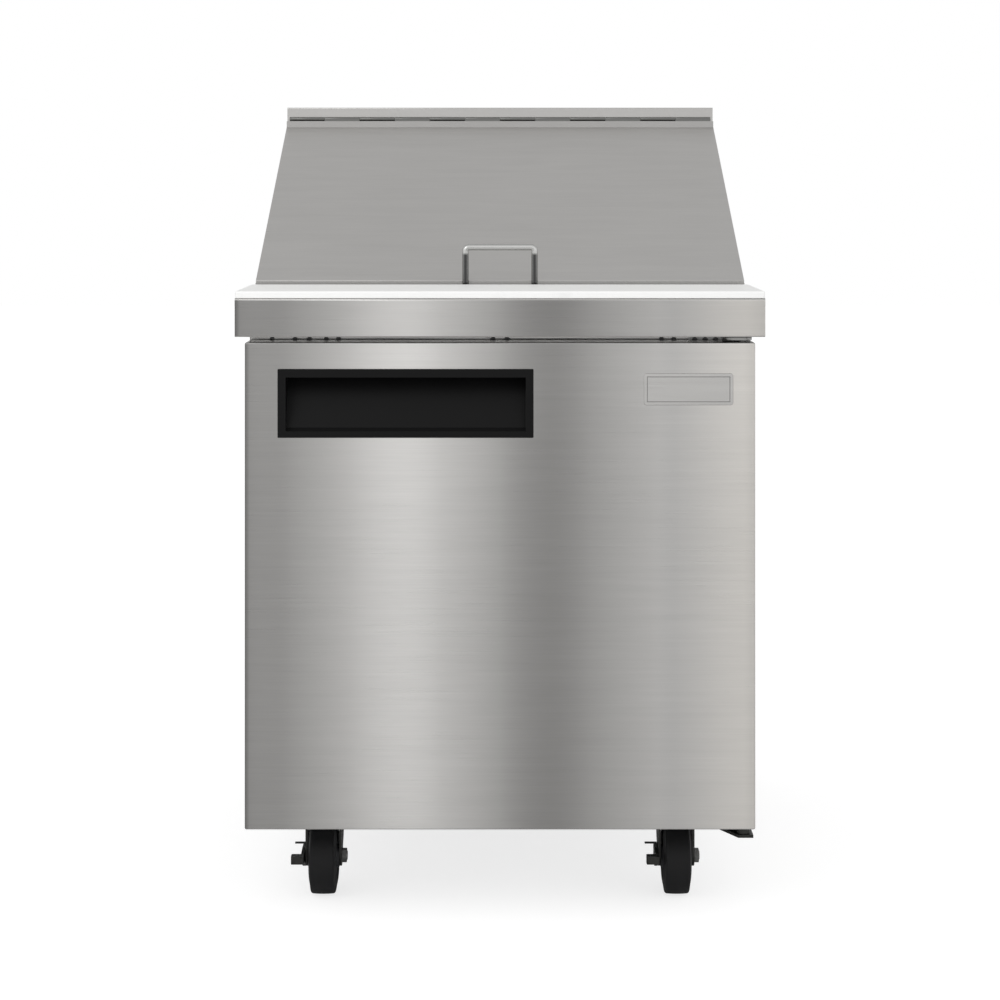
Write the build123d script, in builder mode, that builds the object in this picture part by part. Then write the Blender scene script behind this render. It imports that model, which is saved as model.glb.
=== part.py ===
"""Sandwich prep table: one-door refrigerated base, pan well under a sloped lid, cutting board, casters.

Millimetres. X to the right, -Y to the front, Z up. The origin is on the floor, under the middle of
the table's bounding box.
"""
from build123d import *
import math
import os

os.makedirs("parts", exist_ok=True)

# ---------------------------------------------------------------- driving dimensions
SKIN = 1.2  # sheet metal thickness of the cabinet

# Counter
COUNTER_HALF = 349.25
COUNTER_FRONT = -381.0
COUNTER_BACK = 381.0
COUNTER_LOW = 769.5
COUNTER_TOP = 820.5
COUNTER_SHEET = 1.5
NOSE_RADIUS = 3.0

# Cabinet
BODY_HALF = 337.0
BODY_FRONT = -310.0
BODY_BACK = 369.0
BODY_LOW = 130.0
BODY_TOP = 812.0
FRAME_BACK = BODY_FRONT + SKIN
WALL_HALF = BODY_HALF - SKIN
FLOOR_TOP = BODY_LOW + SKIN
BACK_INSIDE = BODY_BACK - SKIN

# Inside of the liner
INSIDE_HALF = 298.0
INSIDE_FLOOR = 172.0
INSIDE_CEILING = 735.0
INSIDE_LOW_BACK = 137.0
STEP_TOP = 518.0
INSIDE_HIGH_BACK = 331.0
LINER = 1.0

# Pan well
WELL_HALF = 325.0
WELL_FRONT = -149.0
WELL_BACK = 209.0
WELL_SHOULDER = 700.0
WELL_TOP = 814.5
PAN_ROWS_Y = 29.0
PAN_WIDTH = 159.0
PAN_LENGTH = 175.5
PAN_DEPTH = 100.0
PAN_PITCH_X = 161.0
PAN_PITCH_Y = 177.0
PAN_FLANGE = 7.5
PAN_SHEET = 0.8
LEDGE_Z = COUNTER_TOP - 4.5
LEDGE_WIDTH = 8.0

# Machine space, at the low back of the cabinet
MACHINE_FRONT = 175.0
MACHINE_TOP = 480.0
GRILLE_FRONT = 343.8
GRILLE_BACK = 345.0

# Door
DOOR_HALF = 336.8
DOOR_LOW = 119.6
DOOR_TOP = 762.0
DOOR_FRONT = -375.0
DOOR_BACK = -325.0
DOOR_SKIN = 1.0
HINGE_X = 323.6
HINGE_Y = -345.0
HINGE_PIN = 5.0
HINGE_BUSH = 8.0
RUNNING = 0.05  # radial clearance of every turning fit

# Recessed door handle
HANDLE_X = (-293.3, 44.2)
HANDLE_Z = (636.5, 727.2)
HANDLE_MOUTH_X = (-282.8, 34.1)
HANDLE_MOUTH_Z = (645.0, 716.2)
HANDLE_PROUD = 1.8
HANDLE_DEPTH = 36.0

# Blank badge plate
BADGE_X = 248.6
BADGE_Z = 700.5
BADGE_SIZE = (118.0, 42.0)

# Cutting board
BOARD_FRONT = COUNTER_FRONT + 1.5
BOARD_BACK = -187.0
BOARD_THICK = 9.5

# Lid and hood
HOOD_HALF = 344.0
LID_FRONT = -169.0
LID_LOW = 822.0
LID_BACK = 300.9
LID_LIP_FRONT = 296.5
LID_LIP_TOP = 1070.6
SLOPE = 0.48661  # rise over run of the lid's outer face
SLOPE_Y = -162.0
SLOPE_Z = 837.8
LID_THICK = 20.0
HOOD_FRONT = 307.5
HOOD_BACK = 381.0
HOOD_TOP = 1092.7
HOOD_CORE_HALF = 339.0
HOOD_CORE_FRONT = 232.0
HOOD_CORE_DROP = 30.4
LID_AXIS_Y = 304.2
LID_AXIS_Z = 1074.3
KNUCKLE = 3.0
KNUCKLE_PIN = 1.5
KNUCKLES = 12
LEAF_LOW = 1046.0
LEAF_THICK = 1.5
PIANO_HALF = 340.0

# Casters
CASTER_X = 241.0
CASTER_FRONT_Y = -223.0
CASTER_BACK_Y = 313.0
CASTER_TRAIL = 32.0
WHEEL_RADIUS = 50.8
WHEEL_HALF = 19.0
HUB_PROUD = 2.3
FORK_HALF = 24.6
FORK_SHEET = 3.0
AXLE = 6.0
PLATE_THICK = 4.0
PLATE_SIZE = (95.0, 67.0)
BOLT_SPACING = (76.0, 48.0)
BOLT = 4.0

# ---------------------------------------------------------------- shared shapes


def box_between(x, y, z, mode=Mode.ADD):
    """A block between the low and high limits on each axis."""
    with Locations(((x[0] + x[1]) / 2, (y[0] + y[1]) / 2, (z[0] + z[1]) / 2)):
        Box(x[1] - x[0], y[1] - y[0], z[1] - z[0], mode=mode)


def rod_x(x, y, z, radius, mode=Mode.ADD):
    """A round bar along X."""
    with Locations(((x[0] + x[1]) / 2, y, z)):
        Cylinder(radius, x[1] - x[0], rotation=(0, 90, 0), mode=mode)


def rod_y(x, y, z, radius, mode=Mode.ADD):
    """A round bar along Y."""
    with Locations((x, (y[0] + y[1]) / 2, z)):
        Cylinder(radius, y[1] - y[0], rotation=(90, 0, 0), mode=mode)


def rod_z(x, y, z, radius, mode=Mode.ADD):
    """A round bar along Z."""
    with Locations((x, y, (z[0] + z[1]) / 2)):
        Cylinder(radius, z[1] - z[0], mode=mode)


def side_profile(points, x, mode=Mode.ADD):
    """A (Y, Z) outline drawn out along X."""
    with BuildSketch(Plane.YZ.offset(x[0])) as profile:
        with BuildLine():
            Polyline(*points, close=True)
        make_face()
    extrude(profile.sketch, amount=x[1] - x[0], mode=mode)


def bent_tube(points, bend, radius):
    """A round wire or pipe along a path with rounded corners."""
    with BuildLine() as path:
        FilletPolyline(*points, radius=bend)
    with BuildSketch(Plane(origin=path.line @ 0, z_dir=path.line % 0)) as section:
        Circle(radius)
    sweep(section.sketch, path=path.line)


def write(piece, label):
    """Labels a finished piece and writes it to its own file."""
    piece.part.label = label
    export_step(piece.part, "parts/" + label + ".step")


def both(half):
    """Limits that are symmetric about the middle."""
    return (-half, half)


# ---------------------------------------------------------------- cabinet shell
with BuildPart() as side_panel_left:
    box_between((-BODY_HALF, -WALL_HALF), (BODY_FRONT, BODY_BACK), (BODY_LOW, BODY_TOP))
write(side_panel_left, "side_panel_left")

with BuildPart() as side_panel_right:
    box_between((WALL_HALF, BODY_HALF), (BODY_FRONT, BODY_BACK), (BODY_LOW, BODY_TOP))
write(side_panel_right, "side_panel_right")

caster_places = [
    ("front_left", -CASTER_X, CASTER_FRONT_Y),
    ("front_right", CASTER_X, CASTER_FRONT_Y),
    ("rear_left", -CASTER_X, CASTER_BACK_Y),
    ("rear_right", CASTER_X, CASTER_BACK_Y),
]
BRACKET_SCREWS = [(303.0, -279.0), (324.0, -279.0)]
bolt_places = [
    (x + i * BOLT_SPACING[0] / 2, y + j * BOLT_SPACING[1] / 2)
    for name, x, y in caster_places
    for i in (-1, 1)
    for j in (-1, 1)
] + BRACKET_SCREWS

with BuildPart() as floor_panel:
    box_between(both(WALL_HALF), (BODY_FRONT, BODY_BACK), (BODY_LOW, FLOOR_TOP))
    with Locations(*[(x, y, BODY_LOW) for x, y in bolt_places]):
        Cylinder(BOLT + RUNNING, 4 * SKIN, mode=Mode.SUBTRACT)
write(floor_panel, "floor_panel")

FACE_SCREWS_Z = 761.0
FACE_SCREWS_X = [-307.0, -276.0, -256.5, -234.0, -217.5, -9.4, 9.4, 217.5, 234.0]
LEAF_SCREWS_X = [262.0, 276.0, 290.0]
SCREW_SHANK = 2.0
SCREW_HEAD = 4.0
HEAD_THICK = 1.6

with BuildPart() as face_frame:
    box_between(both(WALL_HALF), (BODY_FRONT, FRAME_BACK), (FLOOR_TOP, BODY_TOP))
    box_between(both(INSIDE_HALF), (BODY_FRONT, FRAME_BACK), (INSIDE_FLOOR, INSIDE_CEILING), Mode.SUBTRACT)
    for screw_x in FACE_SCREWS_X + LEAF_SCREWS_X:
        rod_y(screw_x, (BODY_FRONT, FRAME_BACK), FACE_SCREWS_Z, SCREW_SHANK, Mode.SUBTRACT)
write(face_frame, "face_frame")

BRACKET_LEAF = 3.0
LEAF_FRONT = BODY_FRONT - BRACKET_LEAF
with BuildPart() as face_screws:
    for screw_x in FACE_SCREWS_X:
        rod_y(screw_x, (BODY_FRONT - HEAD_THICK, BODY_FRONT), FACE_SCREWS_Z, SCREW_HEAD)
        rod_y(screw_x, (BODY_FRONT, FRAME_BACK), FACE_SCREWS_Z, SCREW_SHANK)
    for screw_x in LEAF_SCREWS_X:
        rod_y(screw_x, (LEAF_FRONT - HEAD_THICK, LEAF_FRONT), FACE_SCREWS_Z, SCREW_HEAD)
        rod_y(screw_x, (LEAF_FRONT, FRAME_BACK), FACE_SCREWS_Z, SCREW_SHANK)
write(face_screws, "face_screws")

# Liner: a stepped box with the pan well as a wider upper part, open at the door and at the counter.
PIPE_X = -150.0
PIPE_Y = 225.0
PIPE_HOLE = 16.0


def liner_outline(grow):
    """The (Y, Z) outline of the inside, moved outwards by grow."""
    return [
        (FRAME_BACK, INSIDE_FLOOR - grow),
        (INSIDE_LOW_BACK + grow, INSIDE_FLOOR - grow),
        (INSIDE_LOW_BACK + grow, STEP_TOP - grow),
        (INSIDE_HIGH_BACK + grow, STEP_TOP - grow),
        (INSIDE_HIGH_BACK + grow, INSIDE_CEILING + grow),
        (FRAME_BACK, INSIDE_CEILING + grow),
    ]


with BuildPart() as inner_liner:
    side_profile(liner_outline(LINER), both(INSIDE_HALF + LINER))
    box_between(
        both(WELL_HALF + LINER),
        (WELL_FRONT - LINER, WELL_BACK + LINER),
        (WELL_SHOULDER - LINER, WELL_TOP),
    )
    side_profile(liner_outline(0.0), both(INSIDE_HALF), Mode.SUBTRACT)
    box_between(both(WELL_HALF), (WELL_FRONT, WELL_BACK), (WELL_SHOULDER, WELL_TOP), Mode.SUBTRACT)
    rod_z(PIPE_X, PIPE_Y, (STEP_TOP - 2 * LINER, STEP_TOP + LINER), PIPE_HOLE, Mode.SUBTRACT)
write(inner_liner, "inner_liner")

# Insulation: foam slabs between the liner and the outer sheets.
foam_x = (INSIDE_HALF + LINER, WALL_HALF)
thin_x = (WELL_HALF + LINER, WALL_HALF)
well_front = WELL_FRONT - LINER
well_back = WELL_BACK + LINER
shoulder = WELL_SHOULDER - LINER
ceiling = INSIDE_CEILING + LINER
middle_x = both(INSIDE_HALF + LINER)
FOAM_GAP = 0.1


def foam_slab(x, y, z):
    """A foam block, a hair smaller all round so that each slab stays a piece of its own."""
    x, y, z = [(low + FOAM_GAP, high - FOAM_GAP) for low, high in (x, y, z)]
    box_between(x, y, z)


with BuildPart() as insulation:
    for side in (-1, 1):
        thick = tuple(sorted((side * foam_x[0], side * foam_x[1])))
        thin = tuple(sorted((side * thin_x[0], side * thin_x[1])))
        foam_slab(thick, (FRAME_BACK, MACHINE_FRONT), (FLOOR_TOP, MACHINE_TOP))
        foam_slab(thick, (FRAME_BACK, BACK_INSIDE), (MACHINE_TOP, shoulder))
        foam_slab(thick, (FRAME_BACK, well_front), (shoulder, WELL_TOP))
        foam_slab(thin, (well_front, well_back), (shoulder, WELL_TOP))
        foam_slab(thick, (well_back, BACK_INSIDE), (shoulder, WELL_TOP))
    foam_slab(middle_x, (FRAME_BACK, MACHINE_FRONT), (FLOOR_TOP, INSIDE_FLOOR - LINER))
    foam_slab(
        middle_x, (INSIDE_LOW_BACK + LINER, MACHINE_FRONT), (INSIDE_FLOOR - LINER, STEP_TOP - LINER)
    )
    foam_slab(middle_x, (MACHINE_FRONT, BACK_INSIDE), (MACHINE_TOP, STEP_TOP - LINER))
    foam_slab(middle_x, (INSIDE_HIGH_BACK + LINER, BACK_INSIDE), (STEP_TOP - LINER, WELL_TOP))
    foam_slab(middle_x, (well_back, INSIDE_HIGH_BACK + LINER), (ceiling, WELL_TOP))
    foam_slab(middle_x, (FRAME_BACK, well_front), (ceiling, WELL_TOP))
    rod_z(PIPE_X, PIPE_Y, (MACHINE_TOP - LINER, STEP_TOP), PIPE_HOLE, Mode.SUBTRACT)
write(insulation, "insulation")

# ---------------------------------------------------------------- back of the cabinet
with BuildPart() as rear_upper_panel:
    box_between(both(WALL_HALF), (BACK_INSIDE, BODY_BACK), (MACHINE_TOP, BODY_TOP))
write(rear_upper_panel, "rear_upper_panel")

GRILLE_HALF = 333.0
GRILLE_Z = (FLOOR_TOP + 0.5, MACHINE_TOP - 1.0)
LOUVRES = 11
LOUVRE_PITCH = 18.0
LOUVRE_LENGTH = 190.0
LOUVRE_PROUD = 7.0
LOUVRE_HEIGHT = 6.0
LOUVRE_Z = 304.0
LOUVRE_X = (155.0, -95.0)
SWITCH_X = -262.0
SWITCH_Z = 425.0
SWITCH_SIZE = (22.0, 30.0)
SWITCH_HOLE = (15.0, 23.0)
SWITCH_BEZEL = 2.0
RELIEF_X = -285.0
RELIEF_Z = 175.0
RELIEF_RADIUS = 9.0
CORD = 4.0
with BuildPart() as rear_grille:
    box_between(both(GRILLE_HALF), (GRILLE_FRONT, GRILLE_BACK), GRILLE_Z)
    for louvre_x in LOUVRE_X:
        for row in range(LOUVRES):
            louvre_z = LOUVRE_Z + (row - (LOUVRES - 1) / 2) * LOUVRE_PITCH
            x_span = (louvre_x - LOUVRE_LENGTH / 2, louvre_x + LOUVRE_LENGTH / 2)
            hood_y = (GRILLE_BACK, GRILLE_BACK + LOUVRE_PROUD)
            slot_y = (GRILLE_FRONT, GRILLE_BACK + LOUVRE_PROUD - SKIN)
            box_between(x_span, hood_y, (louvre_z, louvre_z + LOUVRE_HEIGHT))
            box_between(x_span, slot_y, (louvre_z, louvre_z + LOUVRE_HEIGHT - SKIN), Mode.SUBTRACT)
    with Locations((SWITCH_X, GRILLE_BACK + SWITCH_BEZEL / 2, SWITCH_Z)):
        Box(SWITCH_SIZE[0], SWITCH_BEZEL, SWITCH_SIZE[1])
        Box(SWITCH_HOLE[0], 3 * SWITCH_BEZEL, SWITCH_HOLE[1], mode=Mode.SUBTRACT)
    rod_y(RELIEF_X, (GRILLE_FRONT, GRILLE_BACK), RELIEF_Z, RELIEF_RADIUS, Mode.SUBTRACT)
write(rear_grille, "rear_grille")

ROCKER_SIZE = (14.0, 22.0)
ROCKER_TILT = 7.0
ROCKER_Y = GRILLE_BACK - 1.0
with BuildPart() as power_rocker:
    with BuildSketch(Plane.YZ.offset(SWITCH_X - ROCKER_SIZE[0] / 2)) as rocker_side:
        with Locations(Location((ROCKER_Y, SWITCH_Z), ROCKER_TILT)):
            Trapezoid(ROCKER_SIZE[1] - 2.5, 7.0, 75, rotation=-90)
        with Locations((ROCKER_Y, SWITCH_Z)):
            Circle(4.0)
    extrude(rocker_side.sketch, amount=ROCKER_SIZE[0])
write(power_rocker, "power_rocker")

# The cord leaves through a grommet, lies in a flat coil behind the grille and ends in a two-pin plug.
CORD_Y = GRILLE_BACK + 15.0
CORD_BEND = 9.0
COIL_OUTER_X = (-250.0, -40.0)
COIL_INNER_X = -75.0
COIL_TOP = RELIEF_Z + 60.0
COIL_MIDDLE = RELIEF_Z + 16.0
PLUG_Z = RELIEF_Z + 40.0
PLUG_X = (-222.0, -178.0)
PLUG_HALF_Y = 7.0
PLUG_HALF_Z = 11.0
PRONG_REACH = 16.0
PRONG_OFFSET = 6.0
with BuildPart() as power_cord:
    bent_tube(
        [
            (RELIEF_X, GRILLE_BACK - 10.0, RELIEF_Z),
            (RELIEF_X, CORD_Y, RELIEF_Z),
            (COIL_OUTER_X[1], CORD_Y, RELIEF_Z - 6.0),
            (COIL_OUTER_X[1], CORD_Y, COIL_TOP),
            (COIL_OUTER_X[0], CORD_Y, COIL_TOP),
            (COIL_OUTER_X[0], CORD_Y, COIL_MIDDLE),
            (COIL_INNER_X, CORD_Y, COIL_MIDDLE),
            (COIL_INNER_X, CORD_Y, PLUG_Z),
            (PLUG_X[1] - 2.0, CORD_Y, PLUG_Z),
        ],
        CORD_BEND,
        CORD,
    )
    rod_y(RELIEF_X, (GRILLE_FRONT - 4.0, GRILLE_BACK + 5.0), RELIEF_Z, RELIEF_RADIUS - 0.1)
    plug_y = (CORD_Y - PLUG_HALF_Y, CORD_Y + PLUG_HALF_Y)
    box_between(PLUG_X, plug_y, (PLUG_Z - PLUG_HALF_Z, PLUG_Z + PLUG_HALF_Z))
    for prong_z in (PLUG_Z - PRONG_OFFSET, PLUG_Z + PRONG_OFFSET):
        prong_x = (PLUG_X[0] - PRONG_REACH, PLUG_X[0])
        box_between(prong_x, (CORD_Y - 3.0, CORD_Y + 3.0), (prong_z - 0.8, prong_z + 0.8))
write(power_cord, "power_cord")

# ---------------------------------------------------------------- counter and pan well
counter_inside = COUNTER_HALF - COUNTER_SHEET
OPENING_X = 323.0
OPENING_Y = (PAN_ROWS_Y - PAN_PITCH_Y, PAN_ROWS_Y + PAN_PITCH_Y)
LIP_GAP = 0.6
with BuildPart() as counter_top:
    with BuildSketch(Plane.YZ.offset(-COUNTER_HALF)) as counter_side:
        with BuildLine():
            FilletPolyline(
                (COUNTER_BACK, COUNTER_LOW),
                (COUNTER_FRONT, COUNTER_LOW),
                (COUNTER_FRONT, COUNTER_TOP),
                (COUNTER_BACK, COUNTER_TOP),
                radius=(2.0, NOSE_RADIUS),
            )
            Line((COUNTER_BACK, COUNTER_TOP), (COUNTER_BACK, COUNTER_LOW))
        make_face()
    extrude(counter_side.sketch, amount=2 * COUNTER_HALF)
    box_between(
        both(counter_inside),
        (COUNTER_FRONT + COUNTER_SHEET, COUNTER_BACK - COUNTER_SHEET),
        (COUNTER_LOW + COUNTER_SHEET, COUNTER_TOP - COUNTER_SHEET),
        Mode.SUBTRACT,
    )
    box_between(
        both(BODY_HALF + LIP_GAP),
        (BODY_FRONT - LIP_GAP, BODY_BACK + LIP_GAP),
        (COUNTER_LOW - 1.0, COUNTER_LOW + 2 * COUNTER_SHEET),
        Mode.SUBTRACT,
    )
    box_between(
        both(OPENING_X + COUNTER_SHEET),
        (OPENING_Y[0] - COUNTER_SHEET, OPENING_Y[1] + COUNTER_SHEET),
        (LEDGE_Z - COUNTER_SHEET + 0.2, COUNTER_TOP),
    )
    box_between(both(OPENING_X), OPENING_Y, (LEDGE_Z, COUNTER_TOP), Mode.SUBTRACT)
    box_between(
        both(OPENING_X - LEDGE_WIDTH),
        (OPENING_Y[0] + LEDGE_WIDTH, OPENING_Y[1] - LEDGE_WIDTH),
        (LEDGE_Z - 2 * COUNTER_SHEET, LEDGE_Z),
        Mode.SUBTRACT,
    )
write(counter_top, "counter_top")

BOARD_CORNER = 4.0
BOARD_TOP_EDGE = 2.6
BOARD_LOW_EDGE = 1.0
BOARD_PIN = 4.0
BOARD_PIN_HIGH = 6.0
board_pin_places = [(x, y) for x in both(310.0) for y in (-352.0, -216.0)]
with BuildPart() as board_pins:
    with BuildSketch(Plane.XY.offset(COUNTER_TOP)) as pin_feet:
        with Locations(*board_pin_places):
            Circle(BOARD_PIN)
    extrude(pin_feet.sketch, amount=BOARD_PIN_HIGH)
write(board_pins, "board_pins")

with BuildPart() as cutting_board:
    with BuildSketch(Plane.XY.offset(COUNTER_TOP)) as board_outline:
        with Locations((0.0, (BOARD_FRONT + BOARD_BACK) / 2)):
            RectangleRounded(2 * COUNTER_HALF, BOARD_BACK - BOARD_FRONT, BOARD_CORNER)
    extrude(board_outline.sketch, amount=BOARD_THICK)
    fillet(cutting_board.faces().sort_by(Axis.Z)[-1].edges(), BOARD_TOP_EDGE)
    fillet(cutting_board.faces().sort_by(Axis.Z)[0].edges(), BOARD_LOW_EDGE)
    with BuildSketch(Plane.XY.offset(COUNTER_TOP)) as pin_sockets:
        with Locations(*board_pin_places):
            Circle(BOARD_PIN + RUNNING)
    extrude(pin_sockets.sketch, amount=BOARD_PIN_HIGH + 0.5, mode=Mode.SUBTRACT)
write(cutting_board, "cutting_board")

BAR_HALF_Y = 6.0
with BuildPart() as pan_divider_bar:
    box_between(
        both(OPENING_X - 0.5),
        (PAN_ROWS_Y - BAR_HALF_Y, PAN_ROWS_Y + BAR_HALF_Y),
        (LEDGE_Z - 15.0, LEDGE_Z - COUNTER_SHEET),
    )
    box_between(
        both(OPENING_X - LEDGE_WIDTH - 0.2),
        (PAN_ROWS_Y - BAR_HALF_Y, PAN_ROWS_Y + BAR_HALF_Y),
        (LEDGE_Z - COUNTER_SHEET, LEDGE_Z),
    )
write(pan_divider_bar, "pan_divider_bar")

# One sixth-size pan: a tapered, round-cornered tub with a flat flange.
PAN_TAPER = 3.0
PAN_CORNER = 14.0
PAN_RIM_CORNER = 8.0
pan_body = (PAN_WIDTH - 2 * PAN_FLANGE, PAN_LENGTH - 2 * PAN_FLANGE)
with BuildPart() as one_pan:
    with BuildSketch(Plane.XY) as pan_rim:
        RectangleRounded(PAN_WIDTH, PAN_LENGTH, PAN_RIM_CORNER)
    extrude(pan_rim.sketch, amount=PAN_SHEET)
    with BuildSketch(Plane.XY) as pan_outside:
        RectangleRounded(pan_body[0], pan_body[1], PAN_CORNER)
    extrude(pan_outside.sketch, amount=-PAN_DEPTH, taper=PAN_TAPER)
    with BuildSketch(Plane.XY.offset(PAN_SHEET)) as pan_inside:
        RectangleRounded(pan_body[0] - 2 * PAN_SHEET, pan_body[1] - 2 * PAN_SHEET, PAN_CORNER - PAN_SHEET)
    extrude(pan_inside.sketch, amount=-PAN_DEPTH, taper=PAN_TAPER, mode=Mode.SUBTRACT)

with BuildPart() as food_pans:
    with Locations(Location((0.0, PAN_ROWS_Y, LEDGE_Z))):
        with GridLocations(PAN_PITCH_X, PAN_PITCH_Y, 4, 2):
            add(one_pan.part)
write(food_pans, "food_pans")

# ---------------------------------------------------------------- shelf
SHELF_Z = 410.0
SHELF_X = 286.0
SHELF_Y = (-288.0, 118.0)
SHELF_FRAME = 3.5
SHELF_WIRE = 1.8
SHELF_WIRES = 19
with BuildPart() as wire_shelf:
    for frame_y in SHELF_Y:
        rod_x(both(SHELF_X), frame_y, SHELF_Z, SHELF_FRAME)
    for frame_x in both(SHELF_X):
        rod_y(frame_x, SHELF_Y, SHELF_Z, SHELF_FRAME)
    with Locations(*[(x, y, SHELF_Z) for x in both(SHELF_X) for y in SHELF_Y]):
        Sphere(SHELF_FRAME)
    rod_x(both(SHELF_X), sum(SHELF_Y) / 2, SHELF_Z, SHELF_FRAME - 0.5)
    for wire in range(SHELF_WIRES):
        wire_x = -SHELF_X + 2 * SHELF_X * (wire + 1) / (SHELF_WIRES + 1)
        rod_y(wire_x, SHELF_Y, SHELF_Z + 3.0, SHELF_WIRE)
write(wire_shelf, "wire_shelf")

# Four slotted posts on the liner's walls, each with a clip under the shelf's frame.
POST_THICK = 4.0
POST_WIDTH = 16.0
POST_Z = (200.0, 660.0)
POST_SLOTS = 16
SLOT_PITCH = 28.0
SLOT_SIZE = (6.0, 5.0)
CLIP_REACH = 18.0
CLIP_WIDTH = 12.0
CLIP_Z = (SHELF_Z - 8.0, SHELF_Z - SHELF_FRAME)
with BuildPart() as shelf_supports:
    for side in (-1, 1):
        for post_y in (SHELF_Y[0] + 40.0, SHELF_Y[1] - 40.0):
            post = tuple(sorted((side * (INSIDE_HALF - POST_THICK), side * INSIDE_HALF)))
            clip = tuple(sorted((side * (INSIDE_HALF - CLIP_REACH), side * (INSIDE_HALF - POST_THICK + 0.1))))
            box_between(post, (post_y - POST_WIDTH / 2, post_y + POST_WIDTH / 2), POST_Z)
            box_between(clip, (post_y - CLIP_WIDTH / 2, post_y + CLIP_WIDTH / 2), CLIP_Z)
            for slot in range(POST_SLOTS):
                slot_z = POST_Z[0] + SLOT_PITCH * (slot + 0.5)
                slot_y = (post_y - SLOT_SIZE[0] / 2, post_y + SLOT_SIZE[0] / 2)
                box_between(post, slot_y, (slot_z, slot_z + SLOT_SIZE[1]), Mode.SUBTRACT)
write(shelf_supports, "shelf_supports")

# ---------------------------------------------------------------- hood housing behind the lid
HOOD_TOP_RADIUS = 1.6


def slope_height(y, drop=0.0):
    """Height of the lid's outer face at y, lowered by drop measured straight down."""
    return SLOPE_Z + SLOPE * (y - SLOPE_Y) - drop


def hood_outline(inset):
    """The housing's full-width (Y, Z) outline, moved inwards by inset."""
    return [
        (HOOD_FRONT + inset, COUNTER_TOP),
        (HOOD_BACK - inset, COUNTER_TOP),
        (HOOD_BACK - inset, HOOD_TOP - inset),
        (HOOD_FRONT + inset, HOOD_TOP - inset),
    ]


def hood_core_outline(inset):
    """The (Y, Z) outline of the housing's part under the lid, moved inwards by inset."""
    drop = HOOD_CORE_DROP + inset * 1.1
    return [
        (HOOD_CORE_FRONT + inset, COUNTER_TOP),
        (HOOD_FRONT + inset, COUNTER_TOP),
        (HOOD_FRONT + inset, slope_height(HOOD_FRONT, drop)),
        (HOOD_CORE_FRONT + inset, slope_height(HOOD_CORE_FRONT, drop)),
    ]


with BuildPart() as hood_housing:
    side_profile(hood_outline(0.0), both(HOOD_HALF))
    top_edges = hood_housing.edges().filter_by(Axis.X).group_by(Axis.Z)[-1]
    fillet(top_edges, HOOD_TOP_RADIUS)
    side_profile(hood_core_outline(0.0), both(HOOD_CORE_HALF))
    side_profile(hood_outline(SKIN), both(HOOD_HALF - SKIN), Mode.SUBTRACT)
    side_profile(hood_core_outline(SKIN), both(HOOD_CORE_HALF - SKIN), Mode.SUBTRACT)
write(hood_housing, "hood_housing")

HOOD_FOAM_INSET = SKIN + 0.3
with BuildPart() as hood_foam:
    side_profile(hood_outline(HOOD_FOAM_INSET), both(HOOD_HALF - HOOD_FOAM_INSET))
    side_profile(hood_core_outline(HOOD_FOAM_INSET), both(HOOD_CORE_HALF - HOOD_FOAM_INSET))
write(hood_foam, "hood_foam")

# ---------------------------------------------------------------- lid
SKIN_DROP = SKIN * math.hypot(1.0, SLOPE)
LID_DROP = LID_THICK * math.hypot(1.0, SLOPE)
PANEL_DROP = LID_DROP - 1.1
inner_front = LID_FRONT + SKIN
inner_back = LID_BACK - SKIN
hood_skin_half = HOOD_HALF - SKIN


def level_meets_slope(z, drop):
    """The Y where the lowered slope reaches height z."""
    return SLOPE_Y + (z + drop - SLOPE_Z) / SLOPE


with BuildPart() as lid_outer_skin:
    side_profile(
        [
            (LID_FRONT, LID_LOW),
            (LID_FRONT, slope_height(LID_FRONT)),
            (LID_LIP_FRONT, slope_height(LID_LIP_FRONT)),
            (LID_LIP_FRONT, LID_LIP_TOP),
            (LID_BACK, LID_LIP_TOP),
            (LID_BACK, LID_LOW),
        ],
        both(HOOD_HALF),
    )
    side_profile(
        [
            (inner_front, LID_LOW - 1.0),
            (inner_front, slope_height(inner_front, SKIN_DROP)),
            (inner_back, slope_height(inner_back, SKIN_DROP)),
            (inner_back, LID_LOW - 1.0),
        ],
        both(hood_skin_half),
        Mode.SUBTRACT,
    )
    box_between(
        both(hood_skin_half),
        (inner_back - 1.0, LID_BACK),
        (LID_LOW - 1.0, slope_height(LID_BACK, LID_DROP)),
        Mode.SUBTRACT,
    )
    front_edge = lid_outer_skin.edges().filter_by(Axis.X).filter_by_position(
        Axis.Y, LID_FRONT - 0.1, LID_FRONT + 0.1
    ).sort_by(Axis.Z)[-1]
    fillet(front_edge, 1.1)
write(lid_outer_skin, "lid_outer_skin")

LID_INNER_LOW = LID_LOW + 1.0
with BuildPart() as lid_foam:
    side_profile(
        [
            (inner_front, LID_INNER_LOW),
            (inner_front, slope_height(inner_front, SKIN_DROP)),
            (inner_back, slope_height(inner_back, SKIN_DROP)),
            (inner_back, slope_height(inner_back, PANEL_DROP)),
            (level_meets_slope(LID_INNER_LOW, PANEL_DROP), LID_INNER_LOW),
        ],
        both(hood_skin_half),
    )
write(lid_foam, "lid_foam")

with BuildPart() as lid_inner_panel:
    side_profile(
        [
            (inner_front, LID_LOW),
            (inner_front, LID_INNER_LOW),
            (level_meets_slope(LID_INNER_LOW, PANEL_DROP), LID_INNER_LOW),
            (inner_back, slope_height(inner_back, PANEL_DROP)),
            (inner_back, slope_height(inner_back, LID_DROP)),
            (level_meets_slope(LID_LOW, LID_DROP), LID_LOW),
        ],
        both(hood_skin_half),
    )
write(lid_inner_panel, "lid_inner_panel")

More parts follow.
